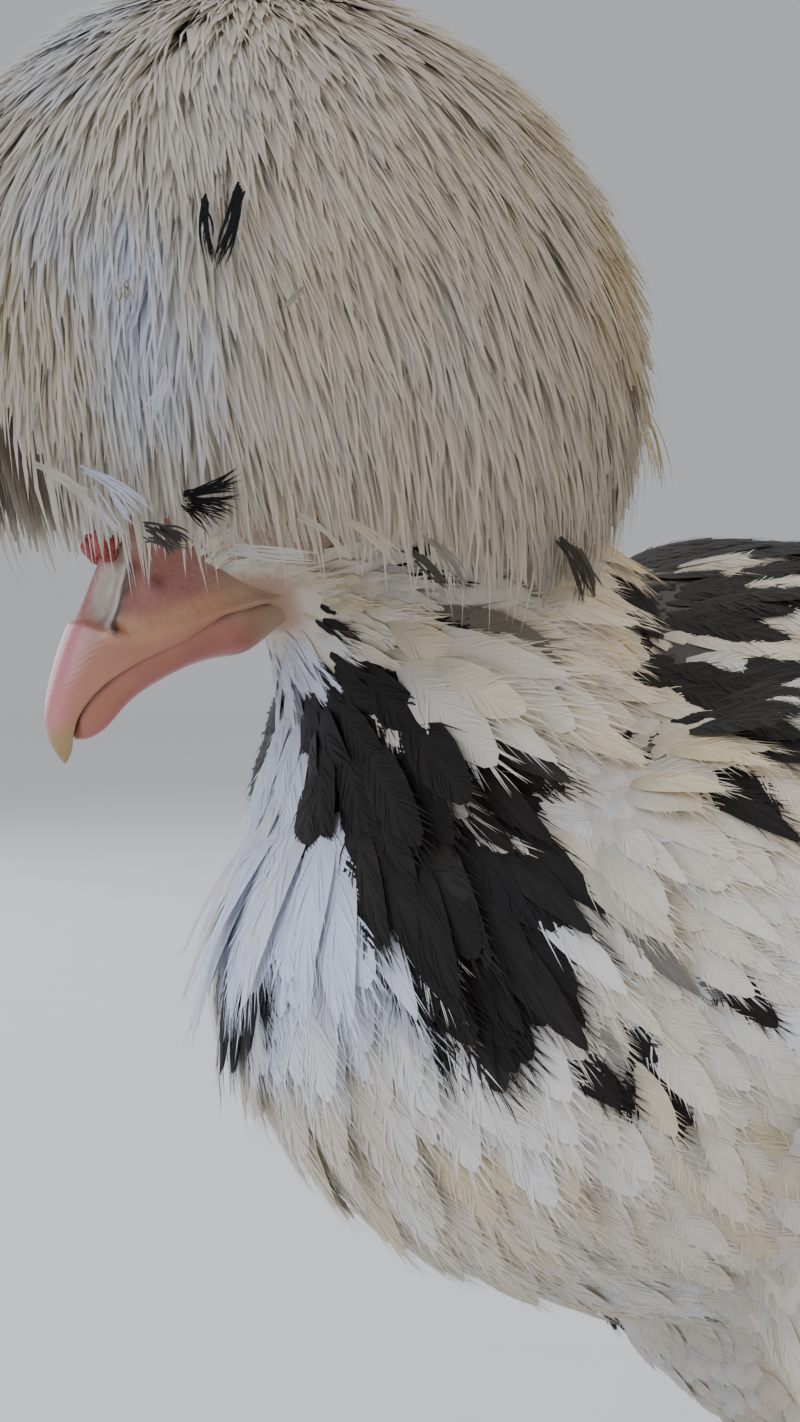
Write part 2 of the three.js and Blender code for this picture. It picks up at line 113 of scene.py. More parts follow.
head_turn = np.array(Matrix.Rotation(HEAD_TILT, 3, "X"))
head_at = (middle_mm("eye_left") + middle_mm("eye_right")) / 2 - head_turn @ EYES_IN_HEAD


def from_head(points):
    return np.asarray(points, float) @ head_turn.T + head_at


flat = math.cos(VIEW_RISE)
view_back = np.array((math.sin(VIEW_AZIMUTH) * flat, -math.cos(VIEW_AZIMUTH) * flat, math.sin(VIEW_RISE)))
view_right = np.array((math.cos(VIEW_AZIMUTH), math.sin(VIEW_AZIMUTH), 0))
view_up = np.cross(view_back, view_right)
eye_point = (
    from_head(GAPE_IN_HEAD)
    + VIEW_DISTANCE * view_back
    + (PICTURE[0] / 2 - GAPE_PIXEL[0]) / PIXELS_PER_MM * view_right
    + (GAPE_PIXEL[1] - PICTURE[1] / 2) / PIXELS_PER_MM * view_up
)
focal_pixels = PIXELS_PER_MM * VIEW_DISTANCE


def sight_line(pixel):
    """The way from the camera through a pixel of the picture."""
    across = (pixel[0] - PICTURE[0] / 2) / focal_pixels
    down = (pixel[1] - PICTURE[1] / 2) / focal_pixels
    way = -view_back + across * view_right - down * view_up
    return way / np.linalg.norm(way)


camera_data = bpy.data.cameras.new("camera")
camera_data.sensor_width = SENSOR
camera_data.lens = SENSOR * focal_pixels / PICTURE[1]
camera_data.clip_start = 0.01
camera_data.clip_end = 100
camera = bpy.data.objects.new("camera", camera_data)
bpy.context.collection.objects.link(camera)
camera.matrix_world = Matrix(
    [[*view_right, 0], [*view_up, 0], [*view_back, 0], [0, 0, 0, 1]]
).transposed()
camera.location = Vector(eye_point * MM)
bpy.context.scene.camera = camera


# FLOOR AND LIGHT. A pale matt studio floor, a large soft window-like light from the bird's front, a
# warm fill from its back and an even pale surround.
def linear(code):
    """sRGB hex to the linear colour that a shader takes."""
    parts = [int(code[i : i + 2], 16) / 255 for i in (1, 3, 5)]
    return [c / 12.92 if c <= 0.04045 else ((c + 0.055) / 1.055) ** 2.4 for c in parts] + [1]


def add(tree, kind, settings=None, **links):
    """Adds a node to a tree. Settings are its own properties, and links its inputs, by name with _ for
    a space or as in0, in1 by place: each is a value or the output of another node."""
    node = tree.nodes.new(kind)
    for key, value in (settings or {}).items():
        setattr(node, key, value)
    for key, value in links.items():
        name = key.replace("_", " ")
        socket = node.inputs[int(key[2:])] if key[:2] == "in" and key[2:].isdigit() else node.inputs[name]
        if isinstance(value, bpy.types.NodeSocket):
            tree.links.new(value, socket)
        else:
            socket.default_value = value
    return node


def new_material(name):
    """A material with its tree and its one surface shader."""
    material = bpy.data.materials.new(name)
    material.use_nodes = True
    return material, material.node_tree, material.node_tree.nodes["Principled BSDF"]


def shade(tree, shader, **inputs):
    """Sets or links the surface shader's inputs."""
    for key, value in inputs.items():
        socket = shader.inputs[key.replace("_", " ")]
        if isinstance(value, bpy.types.NodeSocket):
            tree.links.new(value, socket)
        else:
            socket.default_value = value


def mesh_piece(name, points, faces, material=None, smooth=True):
    """An object at the origin from points in millimetres."""
    mesh = bpy.data.meshes.new(name)
    mesh.from_pydata(np.asarray(points, float) * MM, [], faces)
    mesh.shade_smooth() if smooth else mesh.shade_flat()
    if material:
        mesh.materials.append(material)
    piece = bpy.data.objects.new(name, mesh)
    bpy.context.collection.objects.link(piece)
    return piece


# Painted plaster floor: matt, with a faint mottle two centimetres wide, and paler far off: painted light
# that makes up for the lamps' light falling off there, so that it meets the surround without a line
floor_paint, tree, shader = new_material("painted_plaster")
place = add(tree, "ShaderNodeTexCoord").outputs["Object"]
mottle = add(tree, "ShaderNodeTexNoise", Vector=place, Scale=50.0, Detail=3.0)
away = add(tree, "ShaderNodeVectorMath", {"operation": "LENGTH"}, in0=place)
far_off = add(tree, "ShaderNodeMapRange", Value=away.outputs["Value"], From_Min=0.6, From_Max=3.0)
tone = add(tree, "ShaderNodeMix", {"data_type": "RGBA"}, in0=mottle.outputs["Fac"])
tone.inputs[6].default_value = linear("#cfd0d2")
tone.inputs[7].default_value = linear("#d6d7d8")
# Painted light: the floor grows paler far off, where the lamps' light falls off
painted_far_light = add(tree, "ShaderNodeMix", {"data_type": "RGBA"}, in0=far_off.outputs[0], in6=tone.outputs[2])
painted_far_light.inputs[7].default_value = linear("#fdfdfd")
shade(tree, shader, Base_Color=painted_far_light.outputs[2], Roughness=1.0)
shader.inputs["Specular IOR Level"].default_value = 0.0
FLOOR_HALF = 20000
floor = mesh_piece(
    "floor",
    [(x * FLOOR_HALF, y * FLOOR_HALF, -0.05) for x, y in ((-1, -1), (1, -1), (1, 1), (-1, 1))],
    [(0, 1, 2, 3)],
    floor_paint,
)
floor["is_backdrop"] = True

world = bpy.data.worlds.new("surround")
world.use_nodes = True
world.node_tree.nodes["Background"].inputs["Color"].default_value = linear("#d3d6da")
world.node_tree.nodes["Background"].inputs["Strength"].default_value = 0.72
bpy.context.scene.world = world


def soft_light(name, place, aim, size, power, colour):
    lamp = bpy.data.lights.new(name, "AREA")
    lamp.shape = "DISK"
    lamp.size = size
    lamp.energy = power
    lamp.color = linear(colour)[:3]
    holder = bpy.data.objects.new(name, lamp)
    bpy.context.collection.objects.link(holder)
    holder.location = place
    holder.rotation_euler = (Vector(aim) - Vector(place)).to_track_quat("-Z", "Y").to_euler()


BIRD = (0, 0, 0.12)
soft_light("window", (0.45, -0.95, 0.75), BIRD, 1.1, 12.5, "#d9e4ff")
soft_light("fill", (1.1, 0.55, 0.55), BIRD, 1.0, 6.5, "#ffeeda")
soft_light("top", (-0.3, 0.1, 1.3), BIRD, 1.2, 7, "#fffdf8")
soft_light("far_side", (-1.0, -0.3, 0.5), BIRD, 0.9, 6, "#eef2ff")


# FLESH. One soft skin from the bill to the hocks, lying under the coat by its depth. It is made from
# the solids of head, neck, torso and thighs, run together and smoothed so that no seam shows, with a
# pad for each folded wing.
torso_low, torso_high = box_mm("torso")
FULLEST_SHARE = 44.5 / 110
TORSO_UNDER = 34.5
TORSO_HALF = (34, 35.5)
TORSO_ENDS = {"front": (8.8, 0.5), "back": (12.5, 0.6)}
torso_long = torso_high[1] - torso_low[1]
fullest = torso_low[1] + FULLEST_SHARE * torso_long
torso_middle = torso_low[2] + TORSO_UNDER


def torso_at(y):
    """Centre height, half width and half height of the egg-shaped torso at places along it."""
    y = np.asarray(y, float)
    ahead = y < fullest
    u = np.where(ahead, (fullest - y) / (fullest - torso_low[1]), (y - fullest) / (torso_high[1] - fullest))
    u = np.clip(u, 0, 1)
    rise = np.where(ahead, TORSO_ENDS["front"][0], TORSO_ENDS["back"][0])
    taper = np.where(ahead, TORSO_ENDS["front"][1], TORSO_ENDS["back"][1])
    full = (1 - u * u) ** taper
    return torso_middle + rise * u * u, TORSO_HALF[0] * full, TORSO_HALF[1] * full


WING_LEAVES = fullest + 16


def on_side(y, angle, off):
    """A place on the bird's left side: along the body, up its side, and off the torso's surface.
    Behind WING_LEAVES it runs straight on past the rump, as a folded wing does."""
    y, angle, off = np.broadcast_arrays(np.asarray(y, float), angle, off)
    past = np.maximum(0, y - WING_LEAVES)
    z, wide, high = torso_at(np.minimum(y, WING_LEAVES))
    return np.stack(
        [
            (wide + off - past * 0.2) * np.cos(angle),
            y,
            z + past * 0.16 + (high + off - past * 0.25) * np.sin(angle),
        ],
        -1,
    )


FLESH_NODES = ("torso", "neck", "head", "thigh_left", "thigh_right")
CLOSE_GAPS = 0.35
CUSHION_AT = head_at + (0, -3.5, 12.5)
CUSHION_HALF = (12, 13, 10.5)
WING_PAD = {"wrist": fullest - 27, "length": 50, "low": -22, "high": 46, "thick": 3.8, "thin": 0.45}


def wing_pad(side):
    """A flat cushion over the folded arm."""
    pad = bmesh.new()
    bmesh.ops.create_uvsphere(pad, u_segments=32, v_segments=24, radius=1)
    middle = math.radians((WING_PAD["low"] + WING_PAD["high"]) / 2)
    reach = math.radians((WING_PAD["high"] - WING_PAD["low"]) / 2)
    for v in pad.verts:
        back = (1 - v.co.y) / 2
        thick = WING_PAD["thick"] * (WING_PAD["thin"] + (1 - WING_PAD["thin"]) * min(1, back / 0.5))
        place = on_side(WING_PAD["wrist"] + WING_PAD["length"] * back, middle + reach * v.co.x, thick * v.co.z)
        v.co = Vector(place * (side * MM, MM, MM))
    bmesh.ops.recalc_face_normals(pad, faces=pad.faces)
    return pad


def grown_copy(node):
    """A node's solid, grown a little so that the gaps to its neighbours close."""
    part = bmesh.new()
    part.from_mesh(frame["nodes"][node].data)
    bmesh.ops.remove_doubles(part, verts=part.verts, dist=1e-6)
    part.normal_update()
    for v in part.verts:
        v.co += v.normal * CLOSE_GAPS * MM
    return part


def crest_cushion():
    """The knob of the skull under the crest, with the muscle that bears it."""
    ball = bmesh.new()
    bmesh.ops.create_uvsphere(ball, u_segments=32, v_segments=24, radius=1)
    for v in ball.verts:
        v.co = Vector((CUSHION_AT + np.array(v.co) * CUSHION_HALF) * MM)
    return ball


parts = [grown_copy(node) for node in FLESH_NODES] + [wing_pad(1), wing_pad(-1), crest_cushion()]
flesh = bmesh.new()
for part in parts:
    copy = bpy.data.meshes.new("part")
    part.to_mesh(copy)
    part.free()
    flesh.from_mesh(copy)
    bpy.data.meshes.remove(copy)
skin = bpy.data.objects.new("skin", bpy.data.meshes.new("skin"))
flesh.to_mesh(skin.data)
flesh.free()
bpy.context.collection.objects.link(skin)


def applied(piece):
    """Turns the modified piece into a plain mesh of its own, without modifiers."""
    evaluated = piece.evaluated_get(bpy.context.evaluated_depsgraph_get())
    mesh = bpy.data.meshes.new_from_object(evaluated)
    piece.modifiers.clear()
    old, piece.data = piece.data, mesh
    bpy.data.meshes.remove(old)
    return piece


SKIN_VOXEL = 0.9
remesh = skin.modifiers.new("run together", "REMESH")
remesh.mode = "VOXEL"
remesh.voxel_size = SKIN_VOXEL * MM
smooth = skin.modifiers.new("soften", "SMOOTH")
smooth.iterations = 12
applied(skin)


def smoothstep(value, low, high):
    t = np.clip((np.asarray(value, float) - low) / (high - low), 0, 1)
    return t * t * (3 - 2 * t)


def lerp(a, b, t):
    return a + (b - a) * t


def points_of(mesh):
    points = np.zeros(len(mesh.vertices) * 3)
    mesh.vertices.foreach_get("co", points)
    return points.reshape(-1, 3) / MM


def normals_of(mesh):
    normals = np.zeros(len(mesh.vertices) * 3)
    mesh.vertices.foreach_get("normal", normals)
    return normals.reshape(-1, 3)


def set_points(mesh, points):
    mesh.vertices.foreach_set("co", (points * MM).astype(np.float32).ravel())
    mesh.update()


SKULL_HALF = (11.6, 15, 12)
COAT_DEPTH = {"body": 2.0, "thigh": 1.9, "hock": 0.3, "face": 0.35, "wing": 1.0}
hock_z = box_mm("thigh_left")[0][2]
thigh_top_z = box_mm("torso")[0][2] + 4


def nearness_to_face(points):
    """1 on the skull, falling to 0 down the neck."""
    inside = ((points - head_at) @ head_turn) / SKULL_HALF
    return 1 - smoothstep(np.linalg.norm(inside, axis=1), 1.05, 1.5)


def nearness_to_wing(points):
    """1 on the wing pads, by how far a point stands off the torso's egg on its flank."""
    z, wide, high = torso_at(points[:, 1])
    off = np.hypot(points[:, 0] / wide.clip(1), (points[:, 2] - z) / high.clip(1))
    return smoothstep(off, 1.02, 1.06) * smoothstep(np.abs(points[:, 0]), 18, 24) * (points[:, 2] > thigh_top_z)


points = points_of(skin.data)
face_share = nearness_to_face(points)
wing_share = nearness_to_wing(points)
thigh_share = 1 - smoothstep(points[:, 2], thigh_top_z - 8, thigh_top_z + 4)
depth = lerp(COAT_DEPTH["body"], COAT_DEPTH["wing"], wing_share)
thigh_depth = lerp(COAT_DEPTH["hock"], COAT_DEPTH["thigh"], smoothstep(points[:, 2], hock_z + 2, hock_z + 16))
depth = lerp(depth, thigh_depth, thigh_share)
depth = lerp(depth, COAT_DEPTH["face"], face_share)
set_points(skin.data, points - normals_of(skin.data) * depth[:, None])
soften = skin.modifiers.new("soften", "SMOOTH")
soften.iterations = 4
applied(skin)
skin_points = points_of(skin.data)
skin_normals = normals_of(skin.data)
skin_tree = BVHTree.FromPolygons(
    [tuple(p) for p in skin_points], [tuple(f.vertices) for f in skin.data.polygons]
)

# The skin's own unwrap: feathers take their place on it from where they are rooted
UNWRAP = "OFBake"
bpy.context.view_layer.objects.active = skin
skin.select_set(True)
bpy.ops.object.mode_set(mode="EDIT")
bpy.ops.mesh.select_all(action="SELECT")
bpy.ops.uv.smart_project(angle_limit=math.radians(66), island_margin=0.003)
bpy.ops.object.mode_set(mode="OBJECT")
skin.data.uv_layers.active.name = UNWRAP
skin.select_set(False)
flat_map = np.zeros(len(skin.data.loops) * 2)
skin.data.uv_layers[UNWRAP].uv.foreach_get("vector", flat_map)
flat_map = flat_map.reshape(-1, 2)
first_loop = np.zeros(len(skin.data.polygons), int)
skin.data.polygons.foreach_get("loop_start", first_loop)


def unwrap_place(points):
    """Where points over the skin fall on its unwrap."""
    return np.array([flat_map[first_loop[skin_tree.find_nearest(tuple(p))[2]]] for p in points])


# MARKINGS. Black, grey and white patches of the coat, which skin and feathers share. Each is placed by
# the pixel of the picture where it is seen, in half sizes of millimetres across and down, turned by
# degrees and given its strength: black 1, grey 0.5, and a white spot in the black below 0.
PATCHES = {
    "breast_top": ((395, 728), (5.2, 4.2), 25, 1),
    "breast_middle": ((435, 825), (9.4, 8.6), 20, 1),
    "breast_low": ((478, 930), (6.0, 8.6), 25, 1),
    "breast_point": ((318, 785), (2.8, 3.2), 0, 1),
    "breast_corner": ((545, 990), (1.8, 4.6), -35, 1),
    "breast_spot_1": ((368, 756), (1.6, 1.4), 0, -0.8),
    "breast_spot_2": ((447, 781), (2.3, 1.5), -10, -0.8),
    "breast_spot_3": ((430, 862), (1.7, 1.5), 0, -0.55),
    "breast_spot_4": ((452, 962), (1.4, 3.0), 25, -0.6),
    "breast_streak": ((492, 890), (1.0, 5.0), -28, -0.5),
    "throat_white": ((290, 705), (2.8, 8.0), 0, -1),
    "edge_feather": ((252, 1012), (1.2, 4.4), -14, 1),
    "flank_spot_1": ((510, 1036), (3.1, 2.2), 0, 1),
    "flank_spot_2": ((628, 1090), (3.3, 3.0), 10, 0.9),
    "flank_spot_3": ((702, 1136), (3.3, 1.6), -25, 1),
    "flank_grey": ((752, 1020), (2.2, 2.6), 0, 0.45),
    "wing_grey": ((650, 938), (1.7, 4.0), -42, 0.5),
    "wing_grey_high": ((605, 905), (2.6, 1.6), 0, 0.3),
    "cheek_spot": ((352, 636), (1.3, 1.1), 0, 0.95),
    "neck_spot": ((512, 642), (1.7, 0.9), 0, 0.7),
    # Painted shade: a grey patch under the crest's hem, where the crest's shadow falls
    "under_crest": ((438, 572), (2.2, 1.4), 30, 0.6),
    "back_near": ((715, 610), (7.4, 6.2), 0, 1),
    "back_top": ((735, 552), (9.5, 3.2), 0, 1),
    "back_low": ((735, 690), (8.4, 5.2), 20, 1),
    "back_lowest": ((770, 770), (5.4, 2.2), 30, 0.9),
    "back_streak_1": ((775, 566), (4.4, 0.9), 0, -0.9),
    "back_streak_2": ((765, 655), (4.6, 1.2), 0, -0.9),
    "back_streak_3": ((720, 735), (1.6, 2.6), 35, -0.9),
    "back_streak_4": ((782, 772), (2.6, 0.9), 20, -0.9),
}
# Patches that the picture doesn't reach, placed along the body, up the side in degrees, and by half
# sizes along and up
SIDE_PATCHES = {
    "saddle": ((14, 76), (26, 13), 1),
    "saddle_back": ((44, 66), (12, 9), 1),
    "saddle_streak_1": ((6, 64), (9, 1.6), -0.8),
    "saddle_streak_2": ((26, 74), (10, 1.8), -0.8),
    "saddle_streak_3": ((38, 58), (8, 1.6), -0.7),
    "belly_spot": ((4, -60), (5, 4), 0.9),
    "belly_spot_back": ((30, -52), (6, 4), 0.8),
    "thigh_spot": ((10, -95), (5, 5), 0.8),
    "wing_spot_1": ((2, 28), (5, 3), 0.5),
    "wing_spot_2": ((12, 2), (4, 3), 0.9),
}
PATCH_REACH = 24
MARK_NOISE = {"scale": 1 / 3.2, "strength": 0.32}
RIGHT_SHIFT = np.array((0, 4.5, -3.5))


def noise_at(points, scale, seed=0):
    return np.array([noise.noise(Vector(p) * scale + Vector((seed, 0, 0))) for p in points])


def on_skin(pixel):
    """Where the sight line through a pixel meets the skin, or the place nearest to it."""
    way = Vector(sight_line(pixel))
    hit = skin_tree.ray_cast(Vector(eye_point), way)[0]
    if hit is None:
        beside = Vector(eye_point) + way * (Vector(head_at) - Vector(eye_point)).dot(way)
        hit = skin_tree.find_nearest(beside)[0]
    return np.array(hit)


def darkness_at(points):
    """How dark the coat is at these places, from 0 for white to 1 for black."""
    left = points * (1, 1, 1)
    mirrored = points[:, 0] < -2
    left[mirrored] = points[mirrored] * (-1, 1, 1) + RIGHT_SHIFT
    ragged = noise_at(points, MARK_NOISE["scale"]) + 0.5 * noise_at(points, MARK_NOISE["scale"] * 2.3, 7)
    ragged *= MARK_NOISE["strength"]
    dark = np.zeros(len(points))
    light = np.zeros(len(points))

    def paint(distance, strength):
        share = 1 - smoothstep(distance + ragged, 0.85, 1.15)
        if strength > 0:
            dark[:] = np.maximum(dark, share * strength)
        else:
            light[:] = np.maximum(light, share * -strength)

    for pixel, (across, down), turn, strength in PATCHES.values():
        offset = left - on_skin(pixel)
        c, s = math.cos(math.radians(turn)), math.sin(math.radians(turn))
        right, up = offset @ view_right, offset @ view_up
        flat = np.stack([(right * c + up * s) / across, (up * c - right * s) / down, offset @ view_back / PATCH_REACH])
        paint(np.linalg.norm(flat, axis=0), strength)
    z, wide, high = torso_at(left[:, 1])
    angle = np.degrees(np.arctan2((left[:, 2] - z) / high.clip(1), np.abs(left[:, 0]) / wide.clip(1)))
    for (along, up), (half_along, half_up), strength in SIDE_PATCHES.values():
        flat = np.stack([(left[:, 1] - fullest - along) / half_along, (angle - up) / half_up / 1.7])
        paint(np.linalg.norm(flat, axis=0), strength)
    # The right side's marks start clear of the throat's middle, where the picture shows white
    from_middle = np.where(mirrored & (points[:, 1] < fullest), smoothstep(-points[:, 0], 7, 13), 1)
    return dark * (1 - light) * from_middle


# Bluish white on the breast's front edge: partly the feathers' own cool white and partly painted light, the bluish
# window light that falls there
COOL_LIGHT_PATCHES = (((270, 800), (7, 14)), ((300, 980), (9, 10)), ((330, 700), (4, 4)))


# Painted shade: warmer tan on the cheek and the upper neck under the crest's hem, where the crest shades them
TAN_SHADE_PATCHES = (((300, 592), (9, 4)), ((390, 640), (9, 5)), ((560, 690), (12, 7)))


def warmth_at(points):
    """0 for bluish white, 0.5 for cream, 1 for yellow."""
    warm = 0.5 + 0.28 * noise_at(points, 1 / 14, 3) + 0.16 * noise_at(points, 1 / 4, 5)
    for patches, change in ((COOL_LIGHT_PATCHES, -0.4), (TAN_SHADE_PATCHES, 0.1)):
        for pixel, (across, down) in patches:
            offset = points - on_skin(pixel)
            far = np.hypot(offset @ view_right / across, offset @ view_up / down)
            warm += change * (1 - smoothstep(far, 0.6, 1.3))
    return warm.clip(0, 1)


def give(mesh, name, values, kind="FLOAT"):
    """Stores one value for each point of a mesh under a name."""
    layer = mesh.attributes.get(name) or mesh.attributes.new(name, kind, "POINT")
    values = np.asarray(values, np.float32)
    layer.data.foreach_set("vector" if kind == "FLOAT_VECTOR" else "value", values.ravel())


BILL_ROOT = from_head((0, -13, -2))


def lay_at(points, normals):
    """The way the coat lies: back from the bill over the face, down the neck and along the body."""
    way = points - BILL_ROOT
    way /= np.linalg.norm(way, axis=1)[:, None]
    way[:, 2] -= 0.15
    way -= (way * normals).sum(1)[:, None] * normals
    return way / np.linalg.norm(way, axis=1).clip(1e-6)[:, None]


skin_lay = lay_at(skin_points, skin_normals)
give(skin.data, "dark", darkness_at(skin_points))
give(skin.data, "lay", skin_lay, "FLOAT_VECTOR")

# Skin of a young fowl: thin and fine-grained, pinkish tan where it is bare at the corner of the mouth
# and round the eye, and elsewhere covered with short down in the colours of the coat over it
fowl_skin, tree, shader = new_material("fowl_skin")
place = add(tree, "ShaderNodeTexCoord").outputs["Object"]
grain = add(tree, "ShaderNodeTexVoronoi", Vector=place, Scale=1 / (0.9 * MM))
blush = add(tree, "ShaderNodeTexNoise", Vector=place, Scale=1 / (4 * MM), Detail=3.0)
pink = add(tree, "ShaderNodeMix", {"data_type": "RGBA"}, in0=blush.outputs["Fac"])
pink.inputs[6].default_value = linear("#a37c68")
pink.inputs[7].default_value = linear("#b59880")
bare = add(tree, "ShaderNodeAttribute", {"attribute_name": "bare"})
down = add(tree, "ShaderNodeMix", {"data_type": "RGBA"}, in0=bare.outputs["Fac"], in7=pink.outputs[2])
down.inputs[6].default_value = linear("#c9bba8")
dark = add(tree, "ShaderNodeAttribute", {"attribute_name": "dark"})
under = add(tree, "ShaderNodeMix", {"data_type": "RGBA"}, in0=dark.outputs["Fac"], in6=down.outputs[2])
under.inputs[7].default_value = linear("#2b241f")
raised = add(tree, "ShaderNodeBump", Strength=0.4, Distance=0.1 * MM, Height=grain.outputs["Distance"])
shade(tree, shader, Base_Color=under.outputs[2], Roughness=0.6, Normal=raised.outputs[0])
shader.inputs["Subsurface Weight"].default_value = 0.15
shader.inputs["Subsurface Radius"].default_value = (0.0012, 0.0005, 0.0003)
skin.data.materials.clear()
skin.data.materials.append(fowl_skin)
skin.data.shade_smooth()
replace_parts(skin, *FLESH_NODES)
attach(skin, "root")


# FEATHERS. Thin keratin vanes on a quill, their barbs parting at the edge and the tip. The same plume,
# in a few kinds, makes the whole coat: a closed blade, and single barbs that run on past its edge.
def plume(seed, half, outline, rows=5, barbs=14, closed=0.76, reach=0.28, fray=0.16, cup=0.5, barb_wide=0.01):
    """One feather of length 1 along Y with its face up: points, faces, and a map from 0 to 1 across
    and along. The outline gives its half width, as a share of half, at a share of its length. Its
    blade is closed up to a share, and beyond it the barbs part."""
    rng = np.random.default_rng(seed)
    points, faces, places = [], [], []

    def put(u, v, lift=0.0):
        points.append((u, v, lift - cup * u * u))
        places.append((0.5 + 0.5 * u / half, v))
        return len(points) - 1

    grid = []
    for row in range(rows + 1):
        v = row / rows
        wide = half * 0.86 * outline(min(max(v * closed, 0.02), 0.985)) * (1 - 0.65 * v**3)
        grid.append([put(-wide, v * closed), put(0, v * closed * 1.06, 0.012), put(wide, v * closed)])
    for low, high in zip(grid, grid[1:]):
        faces += [(low[i], low[i + 1], high[i + 1], high[i]) for i in range(2)]
    for side in (-1, 1):
        for k in range(barbs):
            start = lerp(0.1, closed * 1.05, ((k + rng.uniform(0, 1)) / barbs) ** 0.8)
            stop = min(start + reach * rng.uniform(0.75, 1.3), 1.0 + fray * rng.uniform(-0.3, 0.3))
            edge = half * outline(min(stop, 0.975)) * lerp(rng.uniform(0.75, 1 + fray), rng.uniform(0, 1), k / barbs)
            lift = 0.006 + 0.014 * rng.uniform(0, 1)
            wide = barb_wide * rng.uniform(0.7, 1.4)
            a = put(side * 0.012, start, 0.012)
            b = put(side * 0.012, start + wide * 2, 0.012)
            u, v = side * edge * 0.62, lerp(start, stop, 0.45)
            c = put(u, v, lift)
            d = put(u - side * wide * 0.5, v + wide, lift)
            tip = put(side * edge, stop, lift * rng.uniform(0.2, 1.6))
            faces.append((a, c, d, b) if side > 0 else (a, b, d, c))
            faces.append((c, tip, d) if side > 0 else (c, d, tip))
    return np.array(points), faces, np.array(places)


def round_vane(v):
    return v**0.45 * (1 - v**3.2) ** 0.6 / 0.7


def lancet(v):
    return v**0.4 * (1 - v) ** 0.6 / 0.51


PLUME_MAP = "Vane"
TUFT_PATCH = 0.003


def plume_object(name, shape, curl):
    """A plume as a hidden object of length 1, curled down along its length."""
    points, faces, places = shape
    bent = points.copy()
    turn = curl * points[:, 1]
    bent[:, 1] = np.sin(turn) / curl - points[:, 2] * np.sin(-turn)
    bent[:, 2] = points[:, 2] * np.cos(turn) - (1 - np.cos(turn)) / curl
    piece = mesh_piece(name, bent / MM, faces)
    layer = piece.data.uv_layers.new(name=PLUME_MAP)
    corners = np.zeros(len(piece.data.loops), int)
    piece.data.loops.foreach_get("vertex_index", corners)
    layer.uv.foreach_set("vector", places[corners].astype(np.float32).ravel())
    return piece


# Feather keratin: silky and matt, white to cream with a yellow stain, or soft black with a brown cast.
# Fine streaks run along the barbs, drawn 0.35 mm apart, coarser than real barbs, so that they show.
feather, tree, shader = new_material("feather_keratin")
place = add(tree, "ShaderNodeTexCoord").outputs["Object"]
vane = add(tree, "ShaderNodeUVMap", {"uv_map": PLUME_MAP}).outputs["UV"]
apart = add(tree, "ShaderNodeSeparateXYZ", Vector=vane)
across = add(tree, "ShaderNodeMath", {"operation": "SUBTRACT"}, in0=apart.outputs["X"], in1=0.5)
across = add(tree, "ShaderNodeMath", {"operation": "ABSOLUTE"}, in0=across.outputs[0])
slant = add(tree, "ShaderNodeMath", {"operation": "MULTIPLY"}, in0=across.outputs[0], in1=-0.5)
barb = add(tree, "ShaderNodeMath", {"operation": "ADD"}, in0=apart.outputs["Y"], in1=slant.outputs[0])
root = add(tree, "ShaderNodeAttribute", {"attribute_name": "shade"})
line = add(tree, "ShaderNodeCombineXYZ", X=barb.outputs[0], Y=root.outputs["Fac"])
BARB_LINES = 42
streak = add(tree, "ShaderNodeTexNoise", Vector=line.outputs[0], Scale=float(BARB_LINES), Detail=2.0)
# The warmth carries painted light and shade as well as stains: bluish window light on the breast's edge and tan painted
# shade under the crest
warm = add(tree, "ShaderNodeAttribute", {"attribute_name": "warm"})
white = add(tree, "ShaderNodeValToRGB", Fac=warm.outputs["Fac"])
ramp = white.color_ramp.elements
ramp[0].color = linear("#e3e6f0")
ramp[1].color = linear("#d9c48c")
ramp[1].position = 0.95
ramp.new(0.3).color = linear("#e6e2da")
ramp.new(0.6).color = linear("#e0d5bf")
soil = add(tree, "ShaderNodeTexNoise", Vector=place, Scale=1 / (9 * MM), Detail=4.0)
black = add(tree, "ShaderNodeMix", {"data_type": "RGBA"}, in0=soil.outputs["Fac"])
black.inputs[6].default_value = linear("#100e0b")
black.inputs[7].default_value = linear("#29221a")
dark = add(tree, "ShaderNodeAttribute", {"attribute_name": "dark"})
coat = add(tree, "ShaderNodeMix", {"data_type": "RGBA"}, in0=dark.outputs["Fac"], in6=white.outputs[0], in7=black.outputs[2])
# Darker towards the root: partly the grey down at its base and partly painted shade deep in the coat
deep = add(tree, "ShaderNodeMapRange", Value=apart.outputs["Y"], From_Min=0.0, From_Max=0.4, To_Min=0.72, To_Max=1.0)
lines = add(tree, "ShaderNodeMapRange", Value=streak.outputs["Fac"], From_Min=0.3, From_Max=0.7, To_Min=0.9, To_Max=1.05)
both = add(tree, "ShaderNodeMath", {"operation": "MULTIPLY"}, in0=deep.outputs[0], in1=lines.outputs[0])
toned = add(tree, "ShaderNodeMix", {"data_type": "RGBA", "blend_type": "MULTIPLY"}, in0=1.0, in6=coat.outputs[2], in7=both.outputs[0])
PUFF = 0.7


